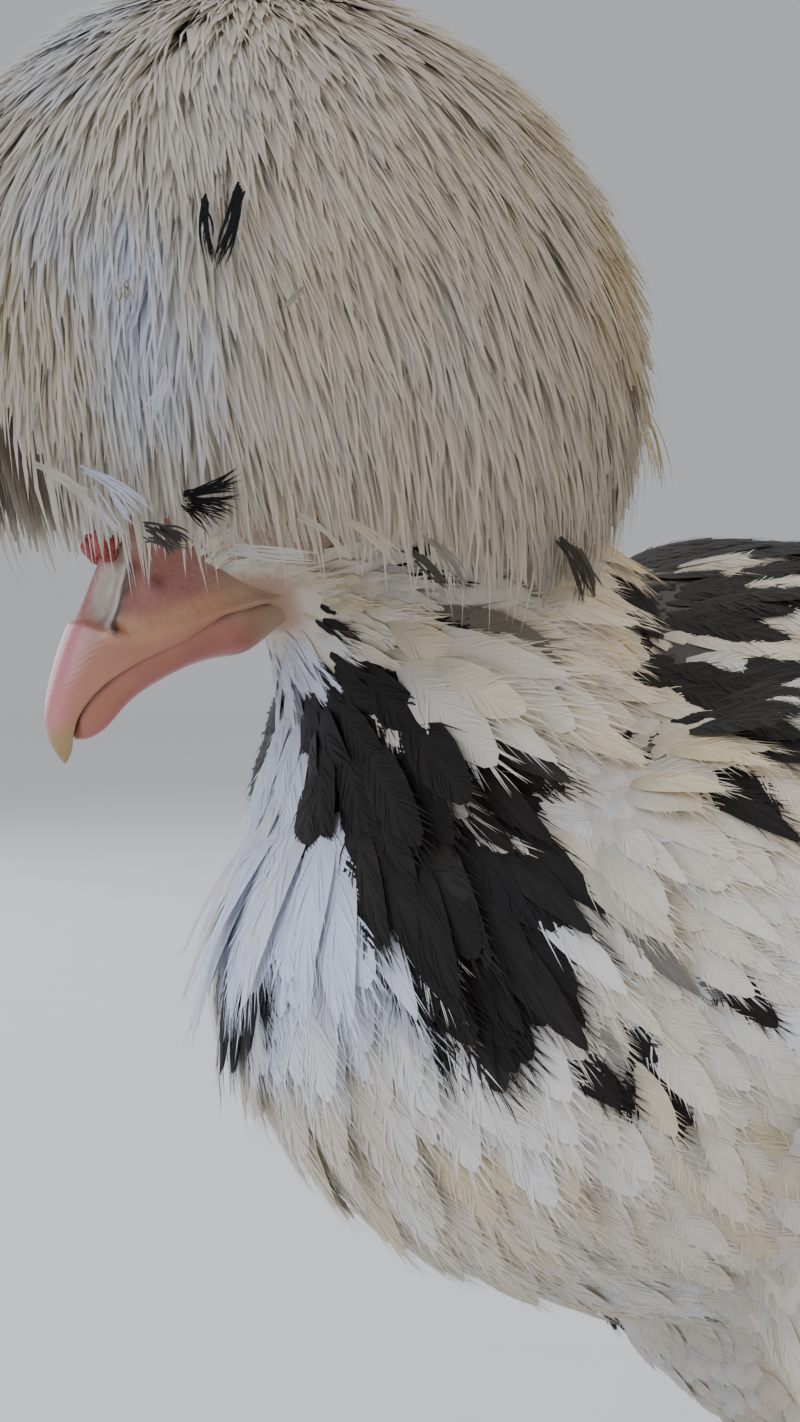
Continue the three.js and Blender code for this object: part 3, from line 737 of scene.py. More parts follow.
def puffed(tree, share):
    """The surface's way to face, drawn towards the whole coat's, so that thin barbs shade as one
    soft mass, as translucent down does."""
    own = add(tree, "ShaderNodeNewGeometry").outputs["Normal"]
    whole = add(tree, "ShaderNodeAttribute", {"attribute_name": "puff"}).outputs["Vector"]
    facing = add(tree, "ShaderNodeVectorMath", {"operation": "DOT_PRODUCT"}, in0=own, in1=whole).outputs["Value"]
    same_side = add(tree, "ShaderNodeMath", {"operation": "SIGN"}, in0=facing).outputs[0]
    whole = add(tree, "ShaderNodeVectorMath", {"operation": "SCALE"}, in0=whole, Scale=same_side).outputs[0]
    mixed = add(tree, "ShaderNodeMix", {"data_type": "VECTOR"}, in0=share, in4=own, in5=whole)
    return add(tree, "ShaderNodeVectorMath", {"operation": "NORMALIZE"}, in0=mixed.outputs[1]).outputs[0]


raised = add(
    tree,
    "ShaderNodeBump",
    Strength=0.2,
    Distance=0.1 * MM,
    Height=streak.outputs["Fac"],
    Normal=puffed(tree, PUFF),
)
shade(tree, shader, Base_Color=toned.outputs[2], Roughness=0.68, Normal=raised.outputs[0])
shader.inputs["Specular IOR Level"].default_value = 0.25
shader.inputs["Sheen Weight"].default_value = 0.12
shader.inputs["Sheen Roughness"].default_value = 0.5



def lit_through(tree, shader, colour, share):
    """Lets a share of the light pass through a thin feather, which keeps the shade under it soft."""
    through_it = add(tree, "ShaderNodeBsdfTranslucent", Color=colour)
    mixed = add(tree, "ShaderNodeMixShader", in0=share, in1=shader.outputs[0], in2=through_it.outputs[0])
    ends = [n for n in tree.nodes if n.type == "OUTPUT_MATERIAL"]
    tree.links.new(mixed.outputs[0], ends[0].inputs["Surface"])


lit_through(tree, shader, toned.outputs[2], 0.22)


def plume_kinds(name, shapes):
    """A collection of plumes for the coat tree to pick from."""
    kinds = bpy.data.collections.new(name)
    bpy.context.scene.collection.children.link(kinds)
    for number, shape in enumerate(shapes):
        piece = plume_object(f"{name}_{number}", shape, 0.4 + 0.15 * number)
        bpy.context.collection.objects.unlink(piece)
        kinds.objects.link(piece)
    return kinds


CONTOUR = plume_kinds("contour_plumes", [plume(seed, 0.2, round_vane) for seed in (1, 2, 3, 4)])
LANCET = plume_kinds(
    "lancet_plumes", [plume(seed, 0.12, lancet, barbs=9, closed=0.8, reach=0.35, fray=0.3) for seed in (5, 6, 7, 8)]
)
TUFT = plume_kinds(
    "tuft_plumes",
    [plume(seed, 0.13, lancet, rows=2, barbs=4, closed=0.6, reach=0.5, fray=0.3, barb_wide=0.03) for seed in (9, 10, 11, 12)],
)


def socket(tree, name, kind, value=None, out=False):
    made = tree.interface.new_socket(name, in_out="OUTPUT" if out else "INPUT", socket_type=f"NodeSocket{kind}")
    if value is not None:
        made.default_value = value
    return made


# A coat over the skin: roots spread evenly where the skin's "cover" allows, each plume turned along
# "lay", as long as "long" says, tipped up off the skin and varied a little, then made real
coat_tree = bpy.data.node_groups.new("coat", "GeometryNodeTree")
socket(coat_tree, "Geometry", "Geometry", out=True)
socket(coat_tree, "Geometry", "Geometry")
socket(coat_tree, "Plumes", "Collection")
socket(coat_tree, "Spacing", "Float", 0.003)
socket(coat_tree, "Lift", "Float", 0.25)
socket(coat_tree, "Stray", "Float", 0.15)
socket(coat_tree, "Seed", "Int", 1)
given = add(coat_tree, "NodeGroupInput").outputs
DENSITY_LIMIT = 1e6


def named(tree, name, kind):
    return add(tree, "GeometryNodeInputNamedAttribute", {"data_type": kind}, Name=name).outputs["Attribute"]


def draw(tree, low, high, seed, offset, kind="FLOAT"):
    """A random value for each plume, from the tree's seed and an offset of its own."""
    own = add(tree, "ShaderNodeMath", {"operation": "ADD"}, in0=seed, in1=float(offset)).outputs[0]
    node = tree.nodes.new("FunctionNodeRandomValue")
    node.data_type = kind
    for name, value in (("Min", low), ("Max", high), ("Seed", own)):
        ends = [s for s in node.inputs if s.name == name and s.enabled]
        if isinstance(value, bpy.types.NodeSocket):
            tree.links.new(value, ends[0])
        else:
            ends[0].default_value = value
    return [s for s in node.outputs if s.enabled][0]


seed = given["Seed"]
scatter = add(
    coat_tree,
    "GeometryNodeDistributePointsOnFaces",
    {"distribute_method": "POISSON"},
    Mesh=given["Geometry"],
    Distance_Min=given["Spacing"],
    Density_Max=DENSITY_LIMIT,
    Density_Factor=named(coat_tree, "cover", "FLOAT"),
    Seed=seed,
)
axes = add(
    coat_tree,
    "FunctionNodeAxesToRotation",
    {"primary_axis": "Z", "secondary_axis": "Y"},
    Primary_Axis=scatter.outputs["Normal"],
    Secondary_Axis=named(coat_tree, "lay", "FLOAT_VECTOR"),
)
minus = add(coat_tree, "ShaderNodeMath", {"operation": "MULTIPLY"}, in0=given["Stray"], in1=-1.0).outputs[0]
lift_low = add(coat_tree, "ShaderNodeMath", {"operation": "MULTIPLY"}, in0=given["Lift"], in1=0.7).outputs[0]
lift_high = add(coat_tree, "ShaderNodeMath", {"operation": "MULTIPLY"}, in0=given["Lift"], in1=1.3).outputs[0]
tipped = add(
    coat_tree,
    "ShaderNodeCombineXYZ",
    X=draw(coat_tree, lift_low, lift_high, seed, 11),
    Y=draw(coat_tree, minus, given["Stray"], seed, 12),
    Z=draw(coat_tree, minus, given["Stray"], seed, 13),
)
tip_turn = add(coat_tree, "FunctionNodeEulerToRotation", Euler=tipped.outputs[0])
turned = add(
    coat_tree,
    "FunctionNodeRotateRotation",
    {"rotation_space": "LOCAL"},
    Rotation=axes.outputs[0],
    Rotate_By=tip_turn.outputs[0],
)
size = add(
    coat_tree,
    "ShaderNodeMath",
    {"operation": "MULTIPLY"},
    in0=named(coat_tree, "long", "FLOAT"),
    in1=draw(coat_tree, 0.82, 1.15, seed, 14),
)


def store(tree, geometry, name, value, kind="FLOAT", domain="POINT"):
    node = add(
        tree, "GeometryNodeStoreNamedAttribute", {"data_type": kind, "domain": domain}, Geometry=geometry, Name=name
    )
    ends = [s for s in node.inputs if s.name == "Value" and s.enabled]
    tree.links.new(value, ends[0])
    return node.outputs["Geometry"]


root_geometry = store(
    coat_tree, scatter.outputs["Points"], "root_place", named(coat_tree, UNWRAP, "FLOAT_VECTOR"), "FLOAT_VECTOR"
)
root_geometry = store(coat_tree, root_geometry, "puff", scatter.outputs["Normal"], "FLOAT_VECTOR")
root_geometry = store(coat_tree, root_geometry, "shade", draw(coat_tree, 0.0, 9.0, seed, 15))
# A feather is wholly dark or light, so that a patch's edge runs along feathers
jitter = draw(coat_tree, -0.22, 0.22, seed, 16)
mixed = add(coat_tree, "ShaderNodeMath", {"operation": "ADD"}, in0=named(coat_tree, "dark", "FLOAT"), in1=jitter)
crisp = add(
    coat_tree,
    "ShaderNodeMapRange",
    {"interpolation_type": "SMOOTHSTEP"},
    Value=mixed.outputs[0],
    From_Min=0.4,
    From_Max=0.56,
)
root_geometry = store(coat_tree, root_geometry, "dark", crisp.outputs[0])
warmer = add(
    coat_tree,
    "ShaderNodeMath",
    {"operation": "ADD"},
    in0=named(coat_tree, "warm", "FLOAT"),
    in1=draw(coat_tree, -0.14, 0.14, seed, 17),
)
root_geometry = store(coat_tree, root_geometry, "warm", warmer.outputs[0])
kinds = add(
    coat_tree, "GeometryNodeCollectionInfo", Collection=given["Plumes"], Separate_Children=True, Reset_Children=True
)
spread = add(
    coat_tree,
    "GeometryNodeInstanceOnPoints",
    Points=root_geometry,
    Instance=kinds.outputs[0],
    Pick_Instance=True,
    Instance_Index=draw(coat_tree, 0, 3, seed, 18, "INT"),
    Rotation=turned.outputs[0],
    Scale=size.outputs[0],
)
real = add(coat_tree, "GeometryNodeRealizeInstances", Geometry=spread.outputs[0])
patch = add(
    coat_tree,
    "ShaderNodeVectorMath",
    {"operation": "MULTIPLY_ADD"},
    in0=named(coat_tree, PLUME_MAP, "FLOAT_VECTOR"),
    in1=(TUFT_PATCH, TUFT_PATCH, 0),
    in2=named(coat_tree, "root_place", "FLOAT_VECTOR"),
)
mapped = store(coat_tree, real.outputs[0], UNWRAP, patch.outputs[0], "FLOAT2", "CORNER")
finished = add(coat_tree, "GeometryNodeSetMaterial", Geometry=mapped, Material=feather)
add(coat_tree, "NodeGroupOutput", Geometry=finished.outputs[0])


def set_input(modifier, name, value):
    """Sets a Geometry Nodes modifier's input by the identifier of the socket of that name."""
    sockets = modifier.node_group.interface.items_tree
    ends = [s for s in sockets if s.name == name and s.in_out == "INPUT"]
    modifier[ends[0].identifier] = value


def lay_coat(name, cover, long, plumes, spacing, lift, stray, seed):
    """One piece of the coat: plumes over the skin where cover is above 0, long in millimetres."""
    bed = bpy.data.objects.new(name, skin.data.copy())
    bpy.context.collection.objects.link(bed)
    bed.data.materials.clear()
    give(bed.data, "cover", cover)
    give(bed.data, "long", long * MM)
    for key, values in feather_marks.items():
        give(bed.data, key, values)
    grow = bed.modifiers.new("coat", "NODES")
    grow.node_group = coat_tree
    for key, value in (
        ("Plumes", plumes),
        ("Spacing", spacing * MM),
        ("Lift", math.radians(lift)),
        ("Stray", math.radians(stray)),
        ("Seed", seed),
    ):
        set_input(grow, key, value)
    applied(bed)
    for extra in ("cover", "long", "lay", "root_place", "near_face"):
        if extra in bed.data.attributes:
            bed.data.attributes.remove(bed.data.attributes[extra])
    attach(bed, "root")
    return bed


# BODY COAT. Small soft contour feathers from the throat to the rump, shorter on the neck, the shoulder
# and the thigh, each lying back from the bill, with narrow hackles over the neck and tiny tufts on
# the face. Only the corner of the mouth, the lores and a ring round the eye are bare.
points, normals = skin_points, skin_normals
in_head = (points - head_at) @ head_turn
face_share = nearness_to_face(points)
wing_share = nearness_to_wing(points)
thigh_share = 1 - smoothstep(points[:, 2], thigh_top_z - 8, thigh_top_z + 4)
hock_share = 1 - smoothstep(points[:, 2], hock_z + 1, hock_z + 14)
behind = smoothstep(points[:, 1], fullest - 16, fullest + 12)
EYE_BARE = 5.2
eye_gap = np.linalg.norm(in_head[:, 1:] - EYES_IN_HEAD[1:], axis=1)
under_jaw = smoothstep(-in_head[:, 2], 8.6, 9.6)
mouth_end = lerp(-8.4, -14.5, smoothstep(in_head[:, 2], -5, 0))
bare = (1 - smoothstep(in_head[:, 1] - mouth_end, 0, 1.2)) * (1 - under_jaw * smoothstep(in_head[:, 1], -13, -11))
bare = np.maximum(bare, 1 - smoothstep(eye_gap, EYE_BARE - 0.5, EYE_BARE + 0.5))
under_crest = smoothstep(in_head[:, 2], 10, 12)
give(skin.data, "bare", bare * face_share)
COAT_LONG = {"front": 9.5, "throat": 14, "behind": 13, "wing": 9, "thigh": 8, "hock": 3, "face": 4.6, "cheek": 7.5}
throat = smoothstep(-points[:, 1], -fullest + 24, -fullest + 36)
body_long = lerp(COAT_LONG["front"], COAT_LONG["behind"], behind)
body_long = lerp(body_long, COAT_LONG["throat"], throat)
body_long = lerp(body_long, COAT_LONG["wing"], wing_share)
body_long = lerp(body_long, COAT_LONG["thigh"], thigh_share)
body_long = lerp(body_long, COAT_LONG["hock"], hock_share)
face_long = lerp(COAT_LONG["face"], COAT_LONG["cheek"], smoothstep(in_head[:, 1], -8, 6))
body_long = lerp(body_long, face_long, face_share)
on_body = (face_share < 0.5) & (under_crest < 0.5)
on_face = (face_share >= 0.5) & (bare < 0.5) & (under_crest < 0.5)
left = points[:, 0] > 0
ahead = points[:, 1] < fullest - 4
low = thigh_share > 0.5
neck_share = smoothstep(points[:, 2], torso_middle + 2, torso_middle + 12) * (1 - smoothstep(points[:, 1], fullest - 26, fullest - 12))
# For each piece: where it grows, its feathers, how far apart they stand, how they tip and stray, seed
REGIONS = {
    "front_coat_left": (on_body & ahead & ~low & left, CONTOUR, 1.15, 10, 8, 21),
    "front_coat_right": (on_body & ahead & ~low & ~left, CONTOUR, 1.35, 10, 8, 22),
    "back_coat_left": (on_body & ~ahead & ~low & left, CONTOUR, 1.55, 9, 6, 23),
    "back_coat_right": (on_body & ~ahead & ~low & ~left, CONTOUR, 1.7, 9, 6, 24),
    "thigh_coat": (on_body & low, CONTOUR, 1.6, 11, 8, 25),
    "neck_hackle": (on_body & (neck_share > 0.3), LANCET, 2.0, 12, 9, 26),
    "face_tufts": (on_face, TUFT, 0.42, 13, 16, 27),
    "throat_beard": (on_body & (throat > 0.6) & (points[:, 2] > 119) & (np.abs(points[:, 0]) < 13), CONTOUR, 1.9, 24, 12, 28),
}
# What shows of a feather is its outer part, so it takes the marking from there and not from its root
SEEN_SHARE = 0.62
seen = points + skin_lay * (SEEN_SHARE * body_long)[:, None]
feather_marks = {"dark": darkness_at(seen), "warm": warmth_at(seen)}
for name, (cover, plumes, spacing, lift, stray, seed_value) in REGIONS.items():
    long = body_long * (1.25 if plumes == LANCET else 1)
    lay_coat(name, cover, long, plumes, spacing, lift, stray, seed_value)

# CREST. Long silky feathers that spring from the knob of the skull, rise off it and fall all round
# into a globe, low over the eyes and the nape, ragged at its hem. Each is swept along its own curve.
KNOB_AT = head_at + (0, -3.3, 9)
CUSHION_RADIUS = 10
CREST_RADIUS = 31.6
# The back of the globe is flatter on its upper side
CREST_FLAT = {"way": (0, 0.75, 0.66), "depth": 3.2, "spread": 5}
CREST_HALF = 1.75
HEM_SHARE = 0.3
LOCK = 9
SWEEP_BACK = 0.3
CREST_SIDES = {
    "crest_left_front": (0, 90, 1, 1850, 41),
    "crest_left_back": (90, 180, 1, 1850, 42),
    "crest_right_front": (0, 90, -1, 1500, 43),
    "crest_right_back": (90, 180, -1, 1450, 44),
}


def crest_way(polar, around):
    """Unit way from the knob: tipped from straight up by polar, turned from the front by around."""
    return np.stack([np.sin(polar) * np.sin(around), -np.sin(polar) * np.cos(around), np.cos(polar)], -1)


def crest_reach(way):
    """How far out the globe reaches each way from the knob."""
    flat = np.array(CREST_FLAT["way"]) / np.linalg.norm(CREST_FLAT["way"])
    return CREST_RADIUS - CREST_FLAT["depth"] * np.maximum(0, way @ flat) ** CREST_FLAT["spread"]


def crest_hem(around):
    """How far round the globe the crest hangs, lowest at the sides and highest over the bill."""
    off = np.abs((np.degrees(around) + 180) % 360 - 180)
    low = 100 + 23 * smoothstep(off, 24, 48) + 5 * smoothstep(off, 75, 115) - 14 * smoothstep(off, 158, 180)
    return np.radians(low)


def silk(seed, strands=15, rows=6):
    """A crest feather of length 1 and half width 1: a narrow soft blade with strands that leave it
    one by one and hang on beside it."""
    rng = np.random.default_rng(seed)
    points, faces = [], []

    def put(u, v, lift):
        points.append((u, v, lift))
        return len(points) - 1

    grid = []
    for row in range(rows + 1):
        v = row / rows * 0.96
        wide = 0.95 * (1 - (row / rows) ** 3) + 0.02
        grid.append([put(-wide, v, -0.05), put(0, v, 0), put(wide, v, -0.05)])
    for low, high in zip(grid, grid[1:]):
        faces += [(low[i], low[i + 1], high[i + 1], high[i]) for i in range(2)]
    for k in range(strands):
        start = rng.uniform(0.1, 0.72)
        stop = min(start + rng.uniform(0.3, 0.6), rng.uniform(0.8, 1.04))
        far = lerp(-1.15, 1.15, (k + rng.uniform(0, 1)) / strands)
        near = far * rng.uniform(0.3, 0.7)
        wide = 0.058 * rng.uniform(0.6, 1.4)
        lift = rng.uniform(0, 0.05)
        ends = []
        for t, u in ((0, near), (0.45, lerp(near, far, 0.75)), (0.8, far)):
            v = lerp(start, stop, t)
            ends.append((put(u - wide, v, lift * t), put(u + wide, v, lift * t)))
        tip = put(far * rng.uniform(0.92, 1.1), stop, lift * rng.uniform(0, 1))
        faces += [(a, b, d, c) for (a, b), (c, d) in zip(ends, ends[1:])]
        faces.append((*ends[-1], tip))
    return np.array(points), faces


def sweep(shapes, curves, outward, half, kinds, tilt=0.0):
    """Copies of the shapes run along curves, four control points each: all points, all faces, each
    point's feather and its place across and along it. The blade's face looks away from the outward
    point, tilted about the feather."""
    tilt = np.broadcast_to(tilt, len(curves))
    all_points, all_faces, owner, places = [], [], [], []
    start = 0
    for kind, (points, faces) in enumerate(shapes):
        chosen = np.flatnonzero(kinds == kind)
        a, b, c, d = (curves[chosen, i][:, None] for i in range(4))
        v = points[:, 1][None, :, None]
        w = 1 - v
        spine = w**3 * a + 3 * w * w * v * b + 3 * w * v * v * c + v**3 * d
        along = 3 * (w * w * (b - a) + 2 * w * v * (c - b) + v * v * (d - c))
        along /= np.linalg.norm(along, axis=2)[..., None]
        up = spine - outward[chosen][:, None]
        up -= (up * along).sum(2)[..., None] * along
        up /= np.linalg.norm(up, axis=2)[..., None]
        side = np.cross(along, up)
        turn = tilt[chosen][:, None, None]
        side, up = side * np.cos(turn) + up * np.sin(turn), up * np.cos(turn) - side * np.sin(turn)
        reach = half[chosen][:, None, None]
        made = spine + side * points[:, 0][None, :, None] * reach + up * points[:, 2][None, :, None] * reach
        all_points.append(made.reshape(-1, 3))
        offsets = start + np.arange(len(chosen)) * len(points)
        for offset in offsets:
            all_faces += [tuple(i + int(offset) for i in face) for face in faces]
        owner.append(np.repeat(chosen, len(points)))
        places.append(np.tile(np.stack([0.5 + points[:, 0] / 2.8, points[:, 1]], 1), (len(chosen), 1)))
        start += len(chosen) * len(points)
    return np.concatenate(all_points), all_faces, np.concatenate(owner), np.concatenate(places)


def through(points):
    """Control points of the curve that passes its four points in even steps."""
    a, b, c, d = (points[:, i] for i in range(4))
    return np.stack([a, (-5 * a + 18 * b - 9 * c + 2 * d) / 6, (2 * a - 9 * b + 18 * c - 5 * d) / 6, d], 1)


def on_crest(pixel, lift=0.0):
    """Where the sight line through a pixel meets the globe of the crest, or passes nearest to it."""
    way = np.array(sight_line(pixel))
    to_knob = KNOB_AT - eye_point
    along = to_knob @ way
    beside = np.linalg.norm(to_knob - along * way)
    place = eye_point + along * way
    for _ in range(4):
        outward = (place - KNOB_AT) / np.linalg.norm(place - KNOB_AT)
        reach = crest_reach(outward) + lift
        place = eye_point + (along - math.sqrt(max(0, reach**2 - beside**2))) * way
    return place


# Crest patches by pixel and half sizes in millimetres: bluish white, partly the feathers' own cool white
# and partly painted light from the window side, and stained yellow
CREST_COOL_LIGHT = (((120, 320), (5, 5)), ((170, 440), (5, 4)), ((40, 60), (5, 9)), ((30, 270), (2.5, 6)))
CREST_WARM = (((80, 380), (3, 6)), ((170, 350), (2, 7)), ((20, 360), (3, 5)), ((655, 330), (3, 9)), ((585, 170), (4, 5)))


def crest_warmth(tips):
    warm = 0.5 + 0.16 * noise_at(tips, 1 / 10, 9)
    for patches, change in ((CREST_COOL_LIGHT, -0.3), (CREST_WARM, 0.16)):
        for pixel, (across, down) in patches:
            offset = tips - on_crest(pixel)
            flat = np.stack([offset @ view_right / across, offset @ view_up / down, offset @ view_back / PATCH_REACH])
            far = np.linalg.norm(flat, axis=0)
            warm += change * (1 - smoothstep(far + 0.3 * noise_at(tips, 1 / 3, 4), 0.5, 1.4))
    return warm


def coat_mesh(name, swept, roots, outward, material, marks):
    """A mesh of swept feathers with its marks for each feather, and each tuft's patch of the unwrap
    at its root's place."""
    points, faces, owner, places = swept
    piece = mesh_piece(name, points, faces, material)
    corners = np.zeros(len(piece.data.loops), int)
    piece.data.loops.foreach_get("vertex_index", corners)
    vane = piece.data.uv_layers.new(name=PLUME_MAP)
    vane.uv.foreach_set("vector", places[corners].astype(np.float32).ravel())
    patch = piece.data.uv_layers.new(name=UNWRAP)
    flat = unwrap_place(roots)[owner[corners]] + places[corners].clip(0, 1) * TUFT_PATCH
    patch.uv.foreach_set("vector", flat.astype(np.float32).ravel())
    piece.data.uv_layers.active = patch
    patch.active_render = True
    whole = points - outward[owner]
    give(piece.data, "puff", whole / np.linalg.norm(whole, axis=1)[:, None], "FLOAT_VECTOR")
    for key, values in marks.items():
        give(piece.data, key, values)
    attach(piece, "root")
    return piece


SILK = [silk(seed) for seed in (1, 2, 3, 4, 5)]


def crest_piece(name, low, high, side, count, seed_value):
    """One quarter of the globe, between two turns from the front: feathers spread evenly by their
    tips from the crown to the hem, where they stand closer."""
    rng = np.random.default_rng(seed_value)
    height = rng.permutation((np.arange(count * 2) + 0.5) / (count * 2))
    around = np.radians(lerp(low, high, (np.arange(count * 2) * 0.618034) % 1)) * side
    polar = np.arccos(1 - height * 1.62)
    keep = np.flatnonzero(polar < crest_hem(around))[:count]
    polar, around = polar[keep], around[keep]
    n = len(polar)
    hem = crest_hem(around)
    at_hem = rng.uniform(0, 1, n) < HEM_SHARE
    polar = np.where(at_hem, hem * rng.uniform(0.86, 1.01, n), polar)
    share = polar / hem
    # Neighbours drift together into soft locks, and all sweep back a little from the bill
    near = KNOB_AT + crest_way(polar, around) * CREST_RADIUS
    drift = noise_at(near, 1 / LOCK, seed_value % 2) + 0.5 * noise_at(near, 2.2 / LOCK, 4)
    root_polar = hem * lerp(-0.25, 0.5, share)
    tip_polar = polar + rng.normal(0, 0.024, n) + 0.05 * drift * share
    root_around = around - side * SWEEP_BACK * np.sin(np.abs(around)) - 0.2 * drift + rng.normal(0, 0.1, n)
    around = around + 0.14 * drift
    inner = rng.uniform(0, 1, n) ** 2
    tip_way = crest_way(tip_polar, around)
    over_way = crest_way(lerp(root_polar, tip_polar, 0.45), lerp(root_around, around, 0.55))
    reach = 1 - np.where(at_hem, 0.2, 0.02) * inner + rng.normal(0, 0.004, n)
    root = CUSHION_AT + crest_way(root_polar, root_around) * CUSHION_RADIUS
    rise = KNOB_AT + crest_way(root_polar * 0.9, root_around) * (CREST_RADIUS * reach * 0.86)[:, None]
    over = KNOB_AT + over_way * (crest_reach(over_way) * reach * 1.01)[:, None]
    tip = KNOB_AT + tip_way * (crest_reach(tip_way) * reach)[:, None]
    curves = np.stack([root, rise, over, tip], 1)
    half = CREST_HALF * rng.uniform(0.8, 1.25, n) * np.where(at_hem | (share < 0.22), 1.4, 1)
    swept = sweep(SILK, curves, np.repeat(KNOB_AT[None], n, 0), half, rng.integers(0, len(SILK), n))
    owner = swept[2]
    marks = {
        "dark": np.zeros(len(owner)),
        "warm": (crest_warmth(tip) + rng.normal(0, 0.05, n))[owner],
        "shade": rng.uniform(0, 9, n)[owner],
    }
    return coat_mesh(name, swept, root, np.repeat(KNOB_AT[None], n, 0), silk_keratin, marks)


# Crest keratin: finer and silkier than the body's, with loose barbs that run along the feather, so
# that its streaks fall from the crown. Streaks are drawn 0.2 mm apart to show at this distance.
silk_keratin, tree, shader = new_material("silky_keratin")
vane = add(tree, "ShaderNodeUVMap", {"uv_map": PLUME_MAP}).outputs["UV"]
apart = add(tree, "ShaderNodeSeparateXYZ", Vector=vane)
root = add(tree, "ShaderNodeAttribute", {"attribute_name": "shade"})
slow = add(tree, "ShaderNodeMath", {"operation": "MULTIPLY"}, in0=apart.outputs["Y"], in1=0.06)
line = add(tree, "ShaderNodeCombineXYZ", X=apart.outputs["X"], Y=root.outputs["Fac"], Z=slow.outputs[0])
streak = add(tree, "ShaderNodeTexNoise", Vector=line.outputs[0], Scale=16.0, Detail=2.0)
# The warmth carries painted light too: bluish window light on the crest's lit side
warm = add(tree, "ShaderNodeAttribute", {"attribute_name": "warm"})
white = add(tree, "ShaderNodeValToRGB", Fac=warm.outputs["Fac"])
ramp = white.color_ramp.elements
ramp[0].color = linear("#d8dcea")
ramp[1].color = linear("#d8c592")
ramp[1].position = 0.95
ramp.new(0.3).color = linear("#dbd7cf")
ramp.new(0.6).color = linear("#d8cebb")
dark = add(tree, "ShaderNodeAttribute", {"attribute_name": "dark"})
coat = add(tree, "ShaderNodeMix", {"data_type": "RGBA"}, in0=dark.outputs["Fac"], in6=white.outputs[0])
coat.inputs[7].default_value = linear("#110f0b")
# Darker towards the root: partly the grey down at its base and partly painted shade deep in the crest
deep = add(tree, "ShaderNodeMapRange", Value=apart.outputs["Y"], From_Min=0.05, From_Max=0.4, To_Min=0.85, To_Max=1.0)
lines = add(tree, "ShaderNodeMapRange", Value=streak.outputs["Fac"], From_Min=0.3, From_Max=0.7, To_Min=0.92, To_Max=1.05)
both = add(tree, "ShaderNodeMath", {"operation": "MULTIPLY"}, in0=deep.outputs[0], in1=lines.outputs[0])
toned = add(tree, "ShaderNodeMix", {"data_type": "RGBA", "blend_type": "MULTIPLY"}, in0=1.0, in6=coat.outputs[2], in7=both.outputs[0])
raised = add(
    tree,
    "ShaderNodeBump",
    Strength=0.15,
    Distance=0.1 * MM,
    Height=streak.outputs["Fac"],
    Normal=puffed(tree, 0.9),
)
shade(tree, shader, Base_Color=toned.outputs[2], Roughness=0.6, Normal=raised.outputs[0])
shader.inputs["Specular IOR Level"].default_value = 0.3
shader.inputs["Sheen Weight"].default_value = 0.1
shader.inputs["Sheen Roughness"].default_value = 0.4

lit_through(tree, shader, toned.outputs[2], 0.55)

crest_pieces = [crest_piece(name, *given) for name, given in CREST_SIDES.items()]
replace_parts(crest_pieces[0], "crest")

# Single feathers and wisps that the picture shows on the crest, each by the pixels of its root and tip,
# how far it bows aside, its half width in millimetres, how dark and how warm it is
WISPS = (
    ((206, 198), (214, 266), 3, 0.34, 1, 0.5),
    ((207, 205), (206, 240), -2, 0.3, 1, 0.5),
    ((240, 186), (217, 270), -4, 0.34, 1, 0.5),
    ((236, 192), (222, 250), -5, 0.35, 1, 0.5),
    ((122, 286), (123, 298), 0, 0.18, 0.55, 0.9),
    ((188, 492), (238, 470), 3, 0.22, 1, 0.5),
    ((186, 494), (239, 480), 2, 0.2, 1, 0.5),
    ((190, 497), (238, 491), 0, 0.22, 1, 0.5),
    ((192, 500), (236, 502), -1, 0.2, 1, 0.5),
    ((190, 503), (231, 513), -2, 0.22, 1, 0.5),
    ((188, 505), (222, 522), -3, 0.18, 1, 0.5),
    ((186, 507), (208, 527), -2, 0.18, 1, 0.5),
    ((146, 528), (176, 548), -3, 0.4, 0.9, 0.5),
    ((160, 530), (190, 546), -2, 0.35, 0.9, 0.5),
    ((150, 540), (186, 552), 0, 0.3, 0.8, 0.5),
    ((168, 372), (151, 412), -3, 0.28, 0, 0.15),
    ((36, 463), (84, 502), -4, 0.3, 0, 0.55),
    ((52, 470), (100, 520), -6, 0.3, 0, 0.4),
    ((108, 478), (134, 524), 5, 0.32, 0, 0.1),
    ((96, 488), (122, 534), 4, 0.28, 0, 0.2),
    ((86, 470), (150, 512), -4, 0.3, 0, 0.1),
    ((232, 548), (319, 556), 3, 0.34, 0, 0.35),
    ((300, 518), (350, 566), -5, 0.3, 0, 0.6),
    ((345, 520), (400, 566), -6, 0.28, 0, 0.65),
    ((416, 556), (446, 592), -3, 0.35, 0.85, 0.5),
    ((430, 540), (468, 590), -5, 0.3, 0.5, 0.5),
    ((560, 540), (590, 606), -6, 0.45, 0.9, 0.5),
    ((574, 548), (598, 600), -4, 0.35, 0.8, 0.5),
    ((588, 556), (578, 602), 2, 0.3, 0.7, 0.5),
    ((650, 420), (660, 497), -4, 0.3, 0, 0.9),
    ((644, 430), (655, 482), -4, 0.3, 0, 0.8),
    ((303, 288), (284, 310), 2, 0.2, 0.35, 0.6),
)
WISP_LIFT = 0.9
# A wisp is a few hairs, this many, as wide as this share of it and this many pixels apart
HAIRS = {"count": 7, "share": 0.3, "apart": 5}


